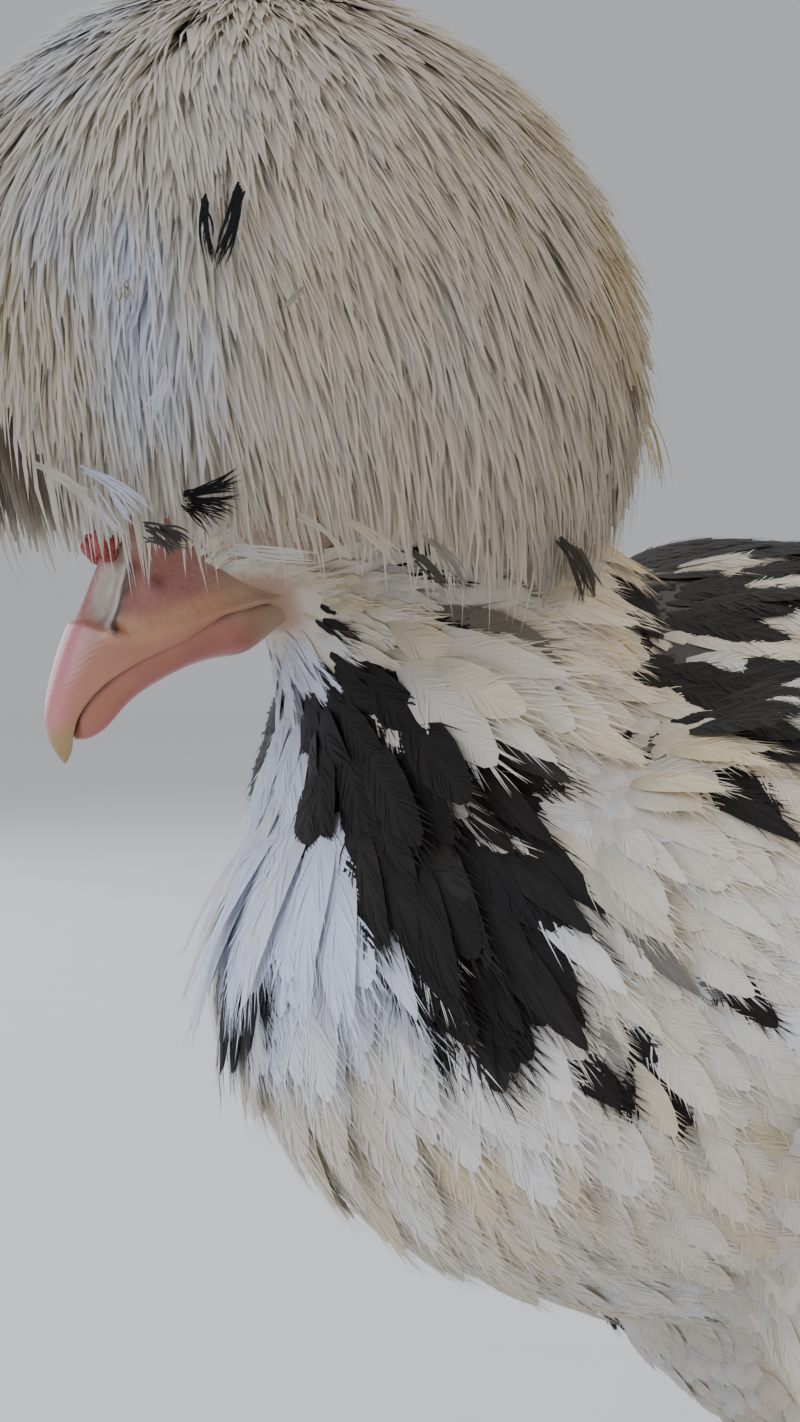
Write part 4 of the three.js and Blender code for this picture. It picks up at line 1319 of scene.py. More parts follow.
def wisps_piece():
    rng = np.random.default_rng(45)
    curves = []
    hairs = [wisp for wisp in WISPS for _ in range(HAIRS["count"])]
    for start, stop, bow, *_ in hairs:
        start, stop = (np.array(end, float) + rng.normal(0, HAIRS["apart"], 2) * far for end, far in ((start, 0.5), (stop, 1)))
        bow = bow + rng.normal(0, 2)
        aside = np.array((-(stop - start)[1], (stop - start)[0])) / np.linalg.norm(stop - start) * bow
        line = [lerp(start, stop, t) + aside * 4 * t * (1 - t) for t in (0, 1 / 3, 2 / 3, 1)]
        curves.append([on_crest(pixel, WISP_LIFT * lift) for pixel, lift in zip(line, (0.4, 1, 1.1, 1.2))])
    curves = through(np.array(curves))
    half = np.array([hair[3] for hair in hairs]) * HAIRS["share"]
    centre = np.repeat(KNOB_AT[None], len(hairs), 0)
    swept = sweep(SILK, curves, centre, half, rng.integers(0, len(SILK), len(hairs)))
    owner = swept[2]
    marks = {
        "dark": np.array([hair[4] for hair in hairs])[owner],
        "warm": np.array([hair[5] for hair in hairs])[owner],
        "shade": rng.uniform(0, 9, len(hairs))[owner],
    }
    return coat_mesh("crest_wisps", swept, curves[:, 0], centre, silk_keratin, marks)


wisps_piece()

# WINGS. Folded on the flanks: flight feathers of the hand under those of the arm, and above them two
# rows of coverts, each with a quill, laid like shingles from the wrist back.
def vane(seed, outline, rows=9, barbs=20):
    """A stiff feather of length 1 and half width 1, cupped, with its quill raised along the middle and
    short parted barbs along its edges."""
    rng = np.random.default_rng(seed)
    points, faces = [], []

    def put(u, v, lift):
        points.append((u, v, lift - 0.16 * u * u))
        return len(points) - 1

    columns = (-1, -0.5, 0, 0.5, 1)
    grid = []
    for row in range(rows + 1):
        v = row / rows
        wide = 0.9 * outline(min(max(v, 0.015), 0.985))
        grid.append([put(wide * c, v * (1 - 0.03 * c * c), 0) for c in columns])
    for low, high in zip(grid, grid[1:]):
        faces += [(low[i], low[i + 1], high[i + 1], high[i]) for i in range(4)]
    quill = []
    for row in range(6):
        v = row / 5 * 0.94
        wide = 0.055 * (1 - 0.8 * v)
        quill.append([put(-wide, v, 0.012), put(0, v, 0.075 * (1 - 0.8 * v)), put(wide, v, 0.012)])
    for low, high in zip(quill, quill[1:]):
        faces += [(low[i], low[i + 1], high[i + 1], high[i]) for i in range(2)]
    for side in (-1, 1):
        for k in range(barbs):
            v = lerp(0.12, 0.97, (k + rng.uniform(0, 1)) / barbs)
            near, far = 0.75, 1 + rng.uniform(0.0, 0.16)
            edge = outline(min(v, 0.985))
            start, stop = v, min(v + rng.uniform(0.05, 0.1), 1.02)
            width = rng.uniform(0.01, 0.022)
            lift = rng.uniform(0.005, 0.03)
            a = put(side * edge * near, start, lift)
            b = put(side * edge * near, start + width * 1.6, lift)
            tip = put(side * outline(min(stop, 0.985)) * far, stop, lift)
            faces.append((a, tip, b) if side > 0 else (a, b, tip))
    return np.array(points), faces


def broad(v):
    return v**0.3 * (1 - v**5) ** 0.55 / 0.93


def model_y(y):
    """Places along the body are given from its fullest section, which is 2 mm ahead of the hips."""
    return fullest + 2 + np.asarray(y, float)


# Rows from under to over, each from its lowest feather to its highest: how many, half width, where
# roots and tips are along the body, how far up the side in degrees, and how high off the body
WING_ROWS = (
    (8, 4.6, (-2, 6), (58, 47), (-16, -2), (-15, 6), (0.8, 2.4)),
    (11, 4.8, (-8, 8), (32, 43), (-18, 36), (-17, 34), (0.8, 3.8)),
    (13, 4.2, (-14, -1), (12, 20), (-20, 38), (-18, 37), (0.9, 4.4)),
)
VANES = [vane(seed, broad) for seed in (31, 32, 33)]


def wing_piece(name, side, seed_value):
    rng = np.random.default_rng(seed_value)
    curves, halves = [], []
    for count, half, root, tip, up, tip_up, off in WING_ROWS:
        for i in range(count):
            t = np.clip((i + rng.uniform(-0.18, 0.18)) / (count - 1), 0, 1)
            y = lerp(lerp(*root, t), lerp(*tip, t) + rng.uniform(-1, 0.6), np.array((0, 1 / 3, 2 / 3, 1)))
            angle = np.radians(lerp(lerp(*up, t), lerp(*tip_up, t) + rng.uniform(-1, 1), np.linspace(0, 1, 4)))
            height = lerp(off[0], off[1], np.sin(np.linspace(0, math.pi / 2, 4))) + 0.25 * t
            curves.append(on_side(model_y(y), angle, height) * (side, 1, 1))
            halves.append(half * rng.uniform(0.9, 1.1))
    curves = through(np.array(curves))
    middle = curves.mean(1)
    middle[:, 0] = 0
    middle[:, 2] = torso_at(np.minimum(middle[:, 1], WING_LEAVES))[0] + np.maximum(0, middle[:, 1] - WING_LEAVES) * 0.16
    kinds = rng.integers(0, len(VANES), len(curves))
    swept = sweep(VANES, curves, middle, np.array(halves), kinds, WING_TILT * side)
    points, faces, owner, places = swept
    seen = lerp(curves[:, 0], curves[:, 3], 0.8)
    dark = smoothstep(darkness_at(seen) + rng.uniform(-0.2, 0.2, len(seen)), 0.3, 0.7)
    patchy = noise_at(points, 1 / 5, 8)
    marks = {
        "dark": np.clip(dark[owner] + 0.3 * smoothstep(patchy, 0.25, 0.5), 0, 1),
        "warm": (0.5 + rng.normal(0, 0.08, len(seen)))[owner],
        "shade": rng.uniform(0, 9, len(seen))[owner],
    }
    return coat_mesh(name, swept, curves[:, 0], middle, feather, marks)


WING_TILT = -0.17
for side, hand, seed_value in ((1, "left", 51), (-1, "right", 52)):
    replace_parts(wing_piece(f"wing_feathers_{hand}", side, seed_value), f"wing_{hand}")


# TAIL. A short fan of ten stiff feathers, black with white tips, in a raised tuft of coverts that
# hides where they are rooted.
TAIL_BASE = np.array((0, model_y(55.5), torso_middle + 12))
TAIL_LONG = 60
TAIL_LIFT = math.radians(34)
TAIL_FAN = math.radians(24)
TAIL_PAIRS = 7
TAIL_DROOP = 4
TAIL_TILT = 0.28
COVERT_ROWS = ((11, 0.7, 3.4, 0.02), (11, 0.52, 4.8, 0.08), (9, 0.36, 6.0, 0.14), (10, 0.55, -4.2, -0.14), (9, 0.4, -5.6, -0.24))


def tail_piece():
    rng = np.random.default_rng(61)
    curves, halves, faces_up, tilts, blacks = [], [], [], [], []

    def put(spread, lift, length, half, rise, tilt, black):
        out = np.array((math.sin(spread), math.cos(spread) * math.cos(lift), math.cos(spread) * math.sin(lift)))
        face = np.array((0.9 * math.sin(spread), -math.sin(lift), math.cos(lift)))
        face /= np.linalg.norm(face)
        base = TAIL_BASE + face * rise
        droop = TAIL_DROOP * length / TAIL_LONG
        bends = (0, 0, droop / 3, droop)
        curves.append([base + out * length * i / 3 - face * bends[i] for i in range(4)])
        halves.append(half)
        faces_up.append(base - face * 400)
        tilts.append(tilt)
        blacks.append(black)

    for side in (1, -1):
        for i in range(TAIL_PAIRS):
            t = (i + 0.5) / TAIL_PAIRS
            rise = 2 - 4 * t + (0.6 if side > 0 else 0)
            put(side * TAIL_FAN * t, TAIL_LIFT - 0.12 * t, TAIL_LONG * (1 - 0.16 * t), 6.4, rise, side * TAIL_TILT, 1)
    for count, share, rise, lift in COVERT_ROWS:
        for i in range(count):
            t = 2 * i / (count - 1) - 1
            spread = TAIL_FAN * 1.5 * t
            length = TAIL_LONG * share * (1 - 0.25 * t * t) * rng.uniform(0.92, 1.06)
            up = rise * (1 - 0.75 * t * t)
            put(spread, TAIL_LIFT + lift, length, 4.6, up, TAIL_TILT * t * 2, rng.uniform() > 0.35)
    curves = np.array(curves)
    kinds = rng.integers(0, len(VANES), len(curves))
    swept = sweep(VANES, curves, np.array(faces_up), np.array(halves), kinds, np.array(tilts))
    points, faces, owner, places = swept
    ragged = 0.1 * noise_at(points, 1 / 4, 6)
    tipped = 1 - 0.7 * smoothstep(places[:, 1] + ragged, 0.88, 0.98)
    streaky = smoothstep(noise_at(points * (1, 0.4, 0.4), 1 / 3, 2), 0.28, 0.4)
    marks = {
        "dark": np.array(blacks, float)[owner] * tipped * (1 - 0.2 * streaky),
        "warm": np.full(len(points), 0.5),
        "shade": rng.uniform(0, 9, len(curves))[owner],
    }
    return coat_mesh("tail_feathers", swept, curves[:, 0], np.array(faces_up), feather, marks)


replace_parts(tail_piece(), "tail")

# BILL. Horn over the jaws: an upper half that hooks down over the lower one, with a soft fleshy cere
# at its root, where the large raised nostrils of the crested breeds open, and a pinkish lower half.
# Stations from root to tip in the head's frame: the ridge, the cutting edge and the half width.
UPPER_STATIONS = (
    ((-9.0, 6.0), (-8.5, -5.9), 6.2),
    ((-13.0, 5.4), (-11.2, -5.2), 6.0),
    ((-16.5, 4.6), (-13.9, -4.7), 5.5),
    ((-19.5, 3.2), (-16.8, -4.95), 4.9),
    ((-22.0, 1.1), (-19.6, -4.7), 4.3),
    ((-24.3, -0.6), (-21.8, -4.6), 3.8),
    ((-26.3, -2.4), (-23.9, -4.8), 3.2),
    ((-27.9, -4.1), (-25.6, -5.4), 2.5),
    ((-28.9, -5.6), (-26.8, -6.2), 1.8),
    ((-29.35, -7.2), (-27.6, -7.2), 1.2),
    ((-29.3, -8.4), (-28.3, -8.4), 0.6),
    ((-29.2, -9.1), (-29.0, -9.1), 0.12),
)
LOWER_STATIONS = (
    ((-8.6, -6.4), (-8.5, -8.5), 4.4),
    ((-12.4, -4.8), (-12.4, -8.8), 5.6),
    ((-15.0, -4.5), (-15.0, -7.9), 5.1),
    ((-17.3, -4.6), (-17.3, -7.35), 4.6),
    ((-20.7, -4.4), (-20.7, -7.2), 3.85),
    ((-22.8, -4.5), (-22.8, -7.5), 3.2),
    ((-25.2, -5.2), (-25.2, -8.3), 2.4),
    ((-26.6, -6.2), (-26.6, -8.3), 1.6),
    ((-27.4, -7.5), (-27.4, -7.95), 0.3),
)
UPPER_PROFILE = ((0, 1), (0.3, 0.965), (0.56, 0.84), (0.78, 0.6), (0.93, 0.3), (1, 0.04), (0.9, -0.01), (0.74, 0.1), (0.4, 0.17), (0, 0.2))
LOWER_PROFILE = ((0, 0.62), (0.4, 0.66), (0.78, 0.86), (0.93, 1), (1, 0.93), (0.97, 0.6), (0.82, 0.25), (0.5, 0.04), (0.2, 0), (0, 0))


def smooth_line(points, count):
    """A smooth line through the points, evenly sampled by their number."""
    points = np.asarray(points, float)
    padded = np.concatenate([2 * points[:1] - points[1:2], points, 2 * points[-1:] - points[-2:-1]])
    at = np.linspace(0, len(points) - 1, count)
    i = np.minimum(at.astype(int), len(points) - 2)
    t = (at - i)[:, None]
    a, b, c, d = padded[i], padded[i + 1], padded[i + 2], padded[i + 3]
    return b + 0.5 * t * (c - a + t * (2 * a - 5 * b + 4 * c - d + t * (3 * (b - c) + d - a)))


def horn_loft(stations, profile, rings, around):
    """A closed shell through the stations, both sides alike: points in the head's frame and faces."""
    table = smooth_line([(*ridge, *edge, wide) for ridge, edge, wide in stations], rings)
    half = smooth_line(profile, around)
    shape = np.concatenate([half, half[-2:0:-1] * (-1, 1)])
    points = []
    for ridge_y, ridge_z, edge_y, edge_z, wide in table:
        up = np.array((ridge_y - edge_y, ridge_z - edge_z))
        yz = np.array((edge_y, edge_z)) + shape[:, 1:2] * up
        points.append(np.column_stack([shape[:, 0] * max(wide, 0.02), yz]))
    points = np.concatenate(points)
    n = len(shape)
    faces = []
    for r in range(rings - 1):
        for k in range(n):
            a, b = r * n + k, r * n + (k + 1) % n
            faces.append((a, b, b + n, a + n))
    faces.append(tuple(range(n)))
    faces.append(tuple(range((rings - 1) * n, rings * n))[::-1])
    return points, faces


def tree_of(points, faces):
    return BVHTree.FromPolygons([tuple(p) for p in points], faces)


def seen_at(tree_in_world, pixels):
    """The places on a surface that the sight lines through the pixels meet, or pass nearest to."""
    places = []
    for pixel in pixels:
        way = Vector(sight_line(pixel))
        hit = tree_in_world.ray_cast(Vector(eye_point), way)[0]
        if hit is None:
            reach = (Vector(head_at) - Vector(eye_point)).dot(way)
            hit = tree_in_world.find_nearest(Vector(eye_point) + way * reach)[0]
        places.append(np.array(hit))
    return np.array(places)


def gap_to_line(points, line):
    """How far points are from a line through places."""
    nearest = np.full(len(points), np.inf)
    for a, b in zip(line, line[1:]):
        along = b - a
        t = ((points - a) @ along / max(along @ along, 1e-9)).clip(0, 1)
        nearest = np.minimum(nearest, np.linalg.norm(points - a - t[:, None] * along, axis=1))
    return nearest


def gap_both_sides(points, line):
    return np.minimum(gap_to_line(points, line), gap_to_line(points, line * (-1, 1, 1)))


# Lines of the bill by the pixels where the picture shows them
NOSTRIL_RIM = ((120, 550), (115, 570), (112, 590), (111, 606), (108, 618))
NOSTRIL_BULGE = ((100, 574), (97, 588), (98, 602))
NOSTRIL_CREVICE = ((130, 568), (125, 584), (120, 602), (112, 622), (116, 632))
NOSTRIL_HOLE = ((153, 583), (157, 585))
HORN_BORDER = ((84, 622), (107, 630), (128, 634), (159, 626), (190, 618), (230, 606), (262, 598))
CULMEN_LINE = ((84, 600), (76, 625), (62, 665), (52, 700), (50, 730))
SIDE_BAND = ((112, 628), (150, 630), (190, 612), (225, 600), (262, 590))
TIP_SPOT = (66, 750)

upper_points, upper_faces = horn_loft(UPPER_STATIONS, UPPER_PROFILE, 110, 46)
upper_points = from_head(upper_points)
upper_tree = tree_of(upper_points, upper_faces)
rim = seen_at(upper_tree, NOSTRIL_RIM)
bulge = seen_at(upper_tree, NOSTRIL_BULGE)
shaded_crevice = seen_at(upper_tree, NOSTRIL_CREVICE)
hole = seen_at(upper_tree, NOSTRIL_HOLE)
border = seen_at(upper_tree, HORN_BORDER)
culmen = seen_at(upper_tree, CULMEN_LINE)
band = seen_at(upper_tree, SIDE_BAND)
tip_spot = seen_at(upper_tree, [TIP_SPOT])[0]
"""The horn ends where the cere begins: the cere is behind and above the border line."""


def behind_border(points):
    """1 on the cere, 0 on the horn, by which side of the border line a point lies."""
    line = border[:, 1:]
    flat = points[:, 1:]
    z = np.interp(flat[:, 0], line[:, 0], line[:, 1])
    return smoothstep(flat[:, 1] - z, -0.25, 0.25)


def bill_piece(name, points, faces, material, replaced):
    piece = mesh_piece(name, points, faces, material)
    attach(piece, "root")
    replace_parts(piece, replaced)
    return piece


def vertex_normals(points, faces):
    mesh = bpy.data.meshes.new("shape")
    mesh.from_pydata(points, [], faces)
    mesh.update()
    found = normals_of(mesh)
    bpy.data.meshes.remove(mesh)
    return found


soft = behind_border(upper_points)
near_rim = gap_both_sides(upper_points, rim)
near_bulge = gap_both_sides(upper_points, bulge)
near_crevice = gap_both_sides(upper_points, shaded_crevice)
near_hole = gap_both_sides(upper_points, hole)
raise_by = 1.0 * np.exp(-((near_rim / 0.7) ** 2)) + 1.25 * np.exp(-((near_bulge / 1.35) ** 2))
raise_by -= 0.85 * np.exp(-((near_crevice / 0.45) ** 2)) + 0.35 * np.exp(-((near_hole / 0.6) ** 2))
raise_by += 0.32 * soft - 0.12 * np.exp(-((gap_both_sides(upper_points, border) / 0.3) ** 2))
raise_by += 0.12 * noise_at(upper_points, 1 / 2.2, 3) * soft
upper_points = upper_points + vertex_normals(upper_points, upper_faces) * raise_by[:, None]

# Horn of the bill: hard, smooth and a little see-through, brownish pink, rosier along its ridge and
# yellower at the tip, with fine growth lines; at its root the soft cere, matt and finely wrinkled
horn, tree, shader = new_material("bill_horn")
place = add(tree, "ShaderNodeTexCoord").outputs["Object"]


def mark(name):
    return add(tree, "ShaderNodeAttribute", {"attribute_name": name}).outputs["Fac"]


def blend(share, under, over):
    """Lays a colour, or a socket, over another by a share."""
    node = add(tree, "ShaderNodeMix", {"data_type": "RGBA"}, in0=share)
    for index, value in ((6, under), (7, over)):
        if isinstance(value, str):
            node.inputs[index].default_value = linear(value)
        else:
            tree.links.new(value, node.inputs[index])
    return node.outputs[2]


clouds = add(tree, "ShaderNodeTexNoise", Vector=place, Scale=1 / (2.6 * MM), Detail=4.0).outputs["Fac"]
growth = add(tree, "ShaderNodeTexWave", {"wave_type": "RINGS", "rings_direction": "X"}, Vector=place, Scale=1 / (1.3 * MM), Distortion=3.0).outputs["Fac"]
colour = blend(clouds, "#9d6952", "#ae7a60")
colour = blend(mark("ridge"), colour, "#c0777a")
colour = blend(mark("tip"), colour, "#9c8256")
colour = blend(mark("soft"), colour, blend(clouds, "#925e51", "#a5715f"))
colour = blend(mark("band"), colour, "#bd8f68")
colour = blend(mark("skinward"), colour, "#a68a70")
# The nostril's rim is pale cartilage; over the bulge in front of it the same pale colour is a painted highlight
colour = blend(mark("rim"), colour, "#c4b8a8")
# Painted shade: dark brown in the crevice behind the nostril's rim, where shade falls into it
colour = blend(mark("shaded_crevice"), colour, "#4a3028")
colour = blend(mark("hole"), colour, "#713a33")
wrinkle = add(tree, "ShaderNodeTexVoronoi", {"feature": "SMOOTH_F1"}, Vector=place, Scale=1 / (0.45 * MM)).outputs["Distance"]
rough = add(tree, "ShaderNodeMapRange", Value=mark("soft"), To_Min=0.32, To_Max=0.5)
lines = add(tree, "ShaderNodeBump", Strength=0.12, Distance=0.08 * MM, Height=growth)
folds = add(tree, "ShaderNodeMath", {"operation": "MULTIPLY"}, in0=wrinkle, in1=mark("soft"))
raised = add(tree, "ShaderNodeBump", Strength=0.5, Distance=0.12 * MM, Height=folds.outputs[0], Normal=lines.outputs[0])
shade(tree, shader, Base_Color=colour, Roughness=rough.outputs[0], Normal=raised.outputs[0])
shader.inputs["Subsurface Weight"].default_value = 0.12
shader.inputs["Subsurface Radius"].default_value = (0.0012, 0.0005, 0.0003)

upper = bill_piece("bill_horn_upper", upper_points, upper_faces, horn, "bill_upper")
give(upper.data, "skinward", smoothstep(((upper_points - head_at) @ head_turn)[:, 1], -14.5, -9.5))
give(upper.data, "soft", soft)
rim_share = 0.95 * np.exp(-((near_rim / 0.7) ** 4))
# The pale rim spreads over the nostril's bulge, where it is a painted highlight
give(upper.data, "rim", np.maximum(rim_share, 0.9 * np.exp(-((near_bulge / 1.35) ** 4))))
# Painted shade in the crevice behind the nostril's rim
give(upper.data, "shaded_crevice", np.exp(-((near_crevice / 0.36) ** 4)))
give(upper.data, "hole", 0.8 * np.exp(-((near_hole / 0.6) ** 3)))
give(upper.data, "ridge", 0.9 * (1 - smoothstep(gap_both_sides(upper_points, culmen), 0.3, 2.1)) * (1 - soft))
give(upper.data, "band", 0.75 * (1 - smoothstep(gap_both_sides(upper_points, band), 0.2, 1.7)))
give(upper.data, "tip", 1 - smoothstep(np.linalg.norm(upper_points - tip_spot, axis=1), 0.8, 3.0))

# The lower half: thinner horn, browner, and redder along its lower edge
lower_horn, tree, shader = new_material("lower_bill_horn")
place = add(tree, "ShaderNodeTexCoord").outputs["Object"]
clouds = add(tree, "ShaderNodeTexNoise", Vector=place, Scale=1 / (2.2 * MM), Detail=4.0).outputs["Fac"]
colour = blend(clouds, "#9a604e", "#a86c58")
colour = blend(mark("under"), colour, "#b35c5c")
colour = blend(mark("edge"), colour, "#6f4438")
colour = blend(mark("skinward"), colour, "#a68a70")
lines = add(tree, "ShaderNodeBump", Strength=0.3, Distance=0.08 * MM, Height=clouds)
shade(tree, shader, Base_Color=colour, Roughness=0.36, Normal=lines.outputs[0])
shader.inputs["Subsurface Weight"].default_value = 0.12
shader.inputs["Subsurface Radius"].default_value = (0.0012, 0.0005, 0.0003)
lower_points, lower_faces = horn_loft(LOWER_STATIONS, LOWER_PROFILE, 90, 36)
stations = np.array([(*ridge, *edge) for ridge, edge, _ in LOWER_STATIONS])
top = np.interp(lower_points[:, 1], stations[::-1, 0], stations[::-1, 1])
bottom = np.interp(lower_points[:, 1], stations[::-1, 2], stations[::-1, 3])
height = (lower_points[:, 2] - bottom) / (top - bottom)
lower = bill_piece("bill_horn_lower", from_head(lower_points), lower_faces, lower_horn, "bill_lower")
give(lower.data, "under", 0.7 * (1 - smoothstep(height, 0.05, 0.4)))
give(lower.data, "edge", smoothstep(height, 0.82, 1.0))
give(lower.data, "skinward", smoothstep(lower_points[:, 1], -14, -10))


# COMB AND LOBES. Two small soft red horns of comb before the crest, grained like a raspberry, and
# small pinkish white ear lobes.
def granular(name, centre, half, grain, depth, material, replaced=(), rings=40, around=56, twist=None):
    """A soft lump in the head's frame with grains standing out of it."""
    points = []
    for i in range(rings + 1):
        polar = math.pi * i / rings
        for k in range(around):
            turn = 2 * math.pi * k / around
            points.append((math.sin(polar) * math.cos(turn), math.sin(polar) * math.sin(turn), math.cos(polar)))
    way = np.array(points)
    at = np.asarray(centre) + way * half
    if twist:
        at = twist(at, way)
    from mathutils import noise

    cells = np.array([noise.voronoi(Vector(p) / grain)[0][0] for p in at])
    at = at + way * ((0.55 - cells) * depth)[:, None]
    faces = []
    for i in range(rings):
        for k in range(around):
            a, b = i * around + k, i * around + (k + 1) % around
            faces.append((a, a + around, b + around, b))
    piece = mesh_piece(name, from_head(at), faces, material)
    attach(piece, "root")
    if replaced:
        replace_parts(piece, *replaced)
    return piece


comb_skin, tree, shader = new_material("comb_skin")
place = add(tree, "ShaderNodeTexCoord").outputs["Object"]
clouds = add(tree, "ShaderNodeTexNoise", Vector=place, Scale=1 / (1.2 * MM), Detail=3.0).outputs["Fac"]
beads = add(tree, "ShaderNodeTexVoronoi", Vector=place, Scale=1 / (0.4 * MM)).outputs["Distance"]
# Partly painted shade: the red is darker than the comb's own, standing for the shade the crest's wisps cast on it
colour = blend(clouds, "#7f2620", "#a3433a")
raised = add(tree, "ShaderNodeBump", Strength=0.6, Distance=0.1 * MM, Height=beads)
shade(tree, shader, Base_Color=colour, Roughness=0.42, Normal=raised.outputs[0])
shader.inputs["Subsurface Weight"].default_value = 0.2
shader.inputs["Subsurface Radius"].default_value = (0.0015, 0.0004, 0.0002)
COMB_HALF = (0.9, 1.0, 1.3)
comb = granular("comb_horn_left", (1.35, -18.0, 4.2), COMB_HALF, 0.75, 0.4, comb_skin, ("comb",))
granular("comb_horn_right", (-1.35, -18.1, 4.0), COMB_HALF, 0.75, 0.4, comb_skin)

# Ear lobes: smooth thin skin, pinkish white, with a fine grain
lobe_skin, tree, shader = new_material("ear_lobe_skin")
place = add(tree, "ShaderNodeTexCoord").outputs["Object"]
clouds = add(tree, "ShaderNodeTexNoise", Vector=place, Scale=1 / (1.6 * MM), Detail=3.0).outputs["Fac"]
grain = add(tree, "ShaderNodeTexVoronoi", Vector=place, Scale=1 / (0.35 * MM)).outputs["Distance"]
raised = add(tree, "ShaderNodeBump", Strength=0.3, Distance=0.06 * MM, Height=grain)
shade(tree, shader, Base_Color=blend(clouds, "#d3b3a4", "#dfcabd"), Roughness=0.55, Normal=raised.outputs[0])
shader.inputs["Subsurface Weight"].default_value = 0.2
shader.inputs["Subsurface Radius"].default_value = (0.0012, 0.0005, 0.0003)
for side, hand in ((1, "left"), (-1, "right")):
    granular(
        f"lobe_{hand}", (side * 10.3, 4.6, -3.6), (1.5, 2.5, 3.0), 1.6, 0.16, lobe_skin, (f"ear_lobe_{hand}",)
    )


# EYES. Wet balls with a reddish bay iris round a black pupil, each in a ring of wrinkled lid, mostly
# hidden by the crest.
EYE_AT = (8.3, -4.5, 1.5)
EYE_RADIUS = 3.95
PUPIL = 1.15
IRIS = 2.5


def turned(name, profile, centre, side, around, material, slot, squash=None, folds=None):
    """A shape turned round the eye's axis, which points sideways: profile of radius and way out."""
    profile = np.asarray(profile, float)
    points = []
    for i, (radius, out) in enumerate(profile):
        for k in range(around):
            turn = 2 * math.pi * k / around
            flat = 1 if squash is None else squash[i]
            more = 0 if folds is None else folds * math.sin(i * 2.1 + 0.7 * math.sin(3 * turn)) * min(1, i / 4)
            points.append((side * (out + more), radius * math.cos(turn), radius * math.sin(turn) * flat))
    points = from_head(np.array(points) + np.asarray(centre) * (side, 1, 1))
    faces = []
    for i in range(len(profile) - 1):
        for k in range(around):
            a, b = i * around + k, i * around + (k + 1) % around
            face = (a, b, b + around, a + around)
            faces.append(face if side > 0 else face[::-1])
    for ring in (0, len(profile) - 1):
        rim = tuple(ring * around + k for k in range(around))
        faces.append(rim if (ring > 0) == (side > 0) else rim[::-1])
    piece = mesh_piece(name, points, faces, material)
    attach(piece, "root")
    return piece


# The eye: a black pupil, an iris in fine spokes that darkens at its rim, under a clear wet film
wet_eye, tree, shader = new_material("wet_eye")
far = add(tree, "ShaderNodeAttribute", {"attribute_name": "off_axis"}).outputs["Fac"]
turn = add(tree, "ShaderNodeAttribute", {"attribute_name": "spoke"}).outputs["Fac"]
spokes = add(tree, "ShaderNodeTexNoise", {"noise_dimensions": "1D"}, W=turn, Scale=30.0, Detail=3.0).outputs["Fac"]


def ramped(value, low, high):
    return add(tree, "ShaderNodeMapRange", {"interpolation_type": "SMOOTHSTEP"}, Value=value, From_Min=low, From_Max=high).outputs[0]


colour = blend(spokes, "#a8481d", "#d98a3a")
colour = blend(ramped(far, IRIS * 0.8, IRIS), colour, "#3b1c10")
colour = blend(ramped(far, PUPIL + 0.12, PUPIL - 0.08), colour, "#050403")
colour = blend(ramped(far, IRIS, IRIS + 0.2), colour, "#5a3a30")
shade(tree, shader, Base_Color=colour, Roughness=0.12, Coat_Weight=1.0, Coat_Roughness=0.03)

# Eyelid skin: thin, dusky pink, in fine folds round the eye
lid_skin, tree, shader = new_material("eyelid_skin")
place = add(tree, "ShaderNodeTexCoord").outputs["Object"]
clouds = add(tree, "ShaderNodeTexNoise", Vector=place, Scale=1 / (0.8 * MM), Detail=3.0).outputs["Fac"]
raised = add(tree, "ShaderNodeBump", Strength=0.5, Distance=0.1 * MM, Height=clouds)
shade(tree, shader, Base_Color=blend(clouds, "#8a6f5e", "#a88e78"), Roughness=0.55, Normal=raised.outputs[0])

BALL_STEPS = 30
LID_PROFILE = ((5.9, 0.4), (5.4, 1.3), (4.8, 2.1), (4.2, 2.7), (3.7, 3.05), (3.3, 3.15), (3.0, 3.05), (2.85, 2.8), (2.8, 2.3))
LID_SQUASH = (1, 0.98, 0.95, 0.92, 0.9, 0.88, 0.86, 0.85, 0.84)
for side, hand in ((1, "left"), (-1, "right")):
    polar = np.linspace(0.97 * math.pi / 2, 0.01, BALL_STEPS)
    ball = np.column_stack([EYE_RADIUS * np.sin(polar), EYE_RADIUS * np.cos(polar)])
    ball[:, 1] += 0.35 * np.exp(-((ball[:, 0] / 1.9) ** 2))
    eye = turned(f"eyeball_{hand}", ball, EYE_AT, side, 64, wet_eye, "eye")
    off = (points_of(eye.data) - head_at) @ head_turn - np.asarray(EYE_AT) * (side, 1, 1)
    give(eye.data, "off_axis", np.hypot(off[:, 1], off[:, 2]))
    give(eye.data, "spoke", np.arctan2(off[:, 2], off[:, 1]))
    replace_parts(eye, f"eye_{hand}")
    lid = smooth_line([(*p, s) for p, s in zip(LID_PROFILE, LID_SQUASH)], 34)
    turned(f"eyelid_{hand}", lid[:, :2], EYE_AT, side, 72, lid_skin, "skin", lid[:, 2], 0.1)


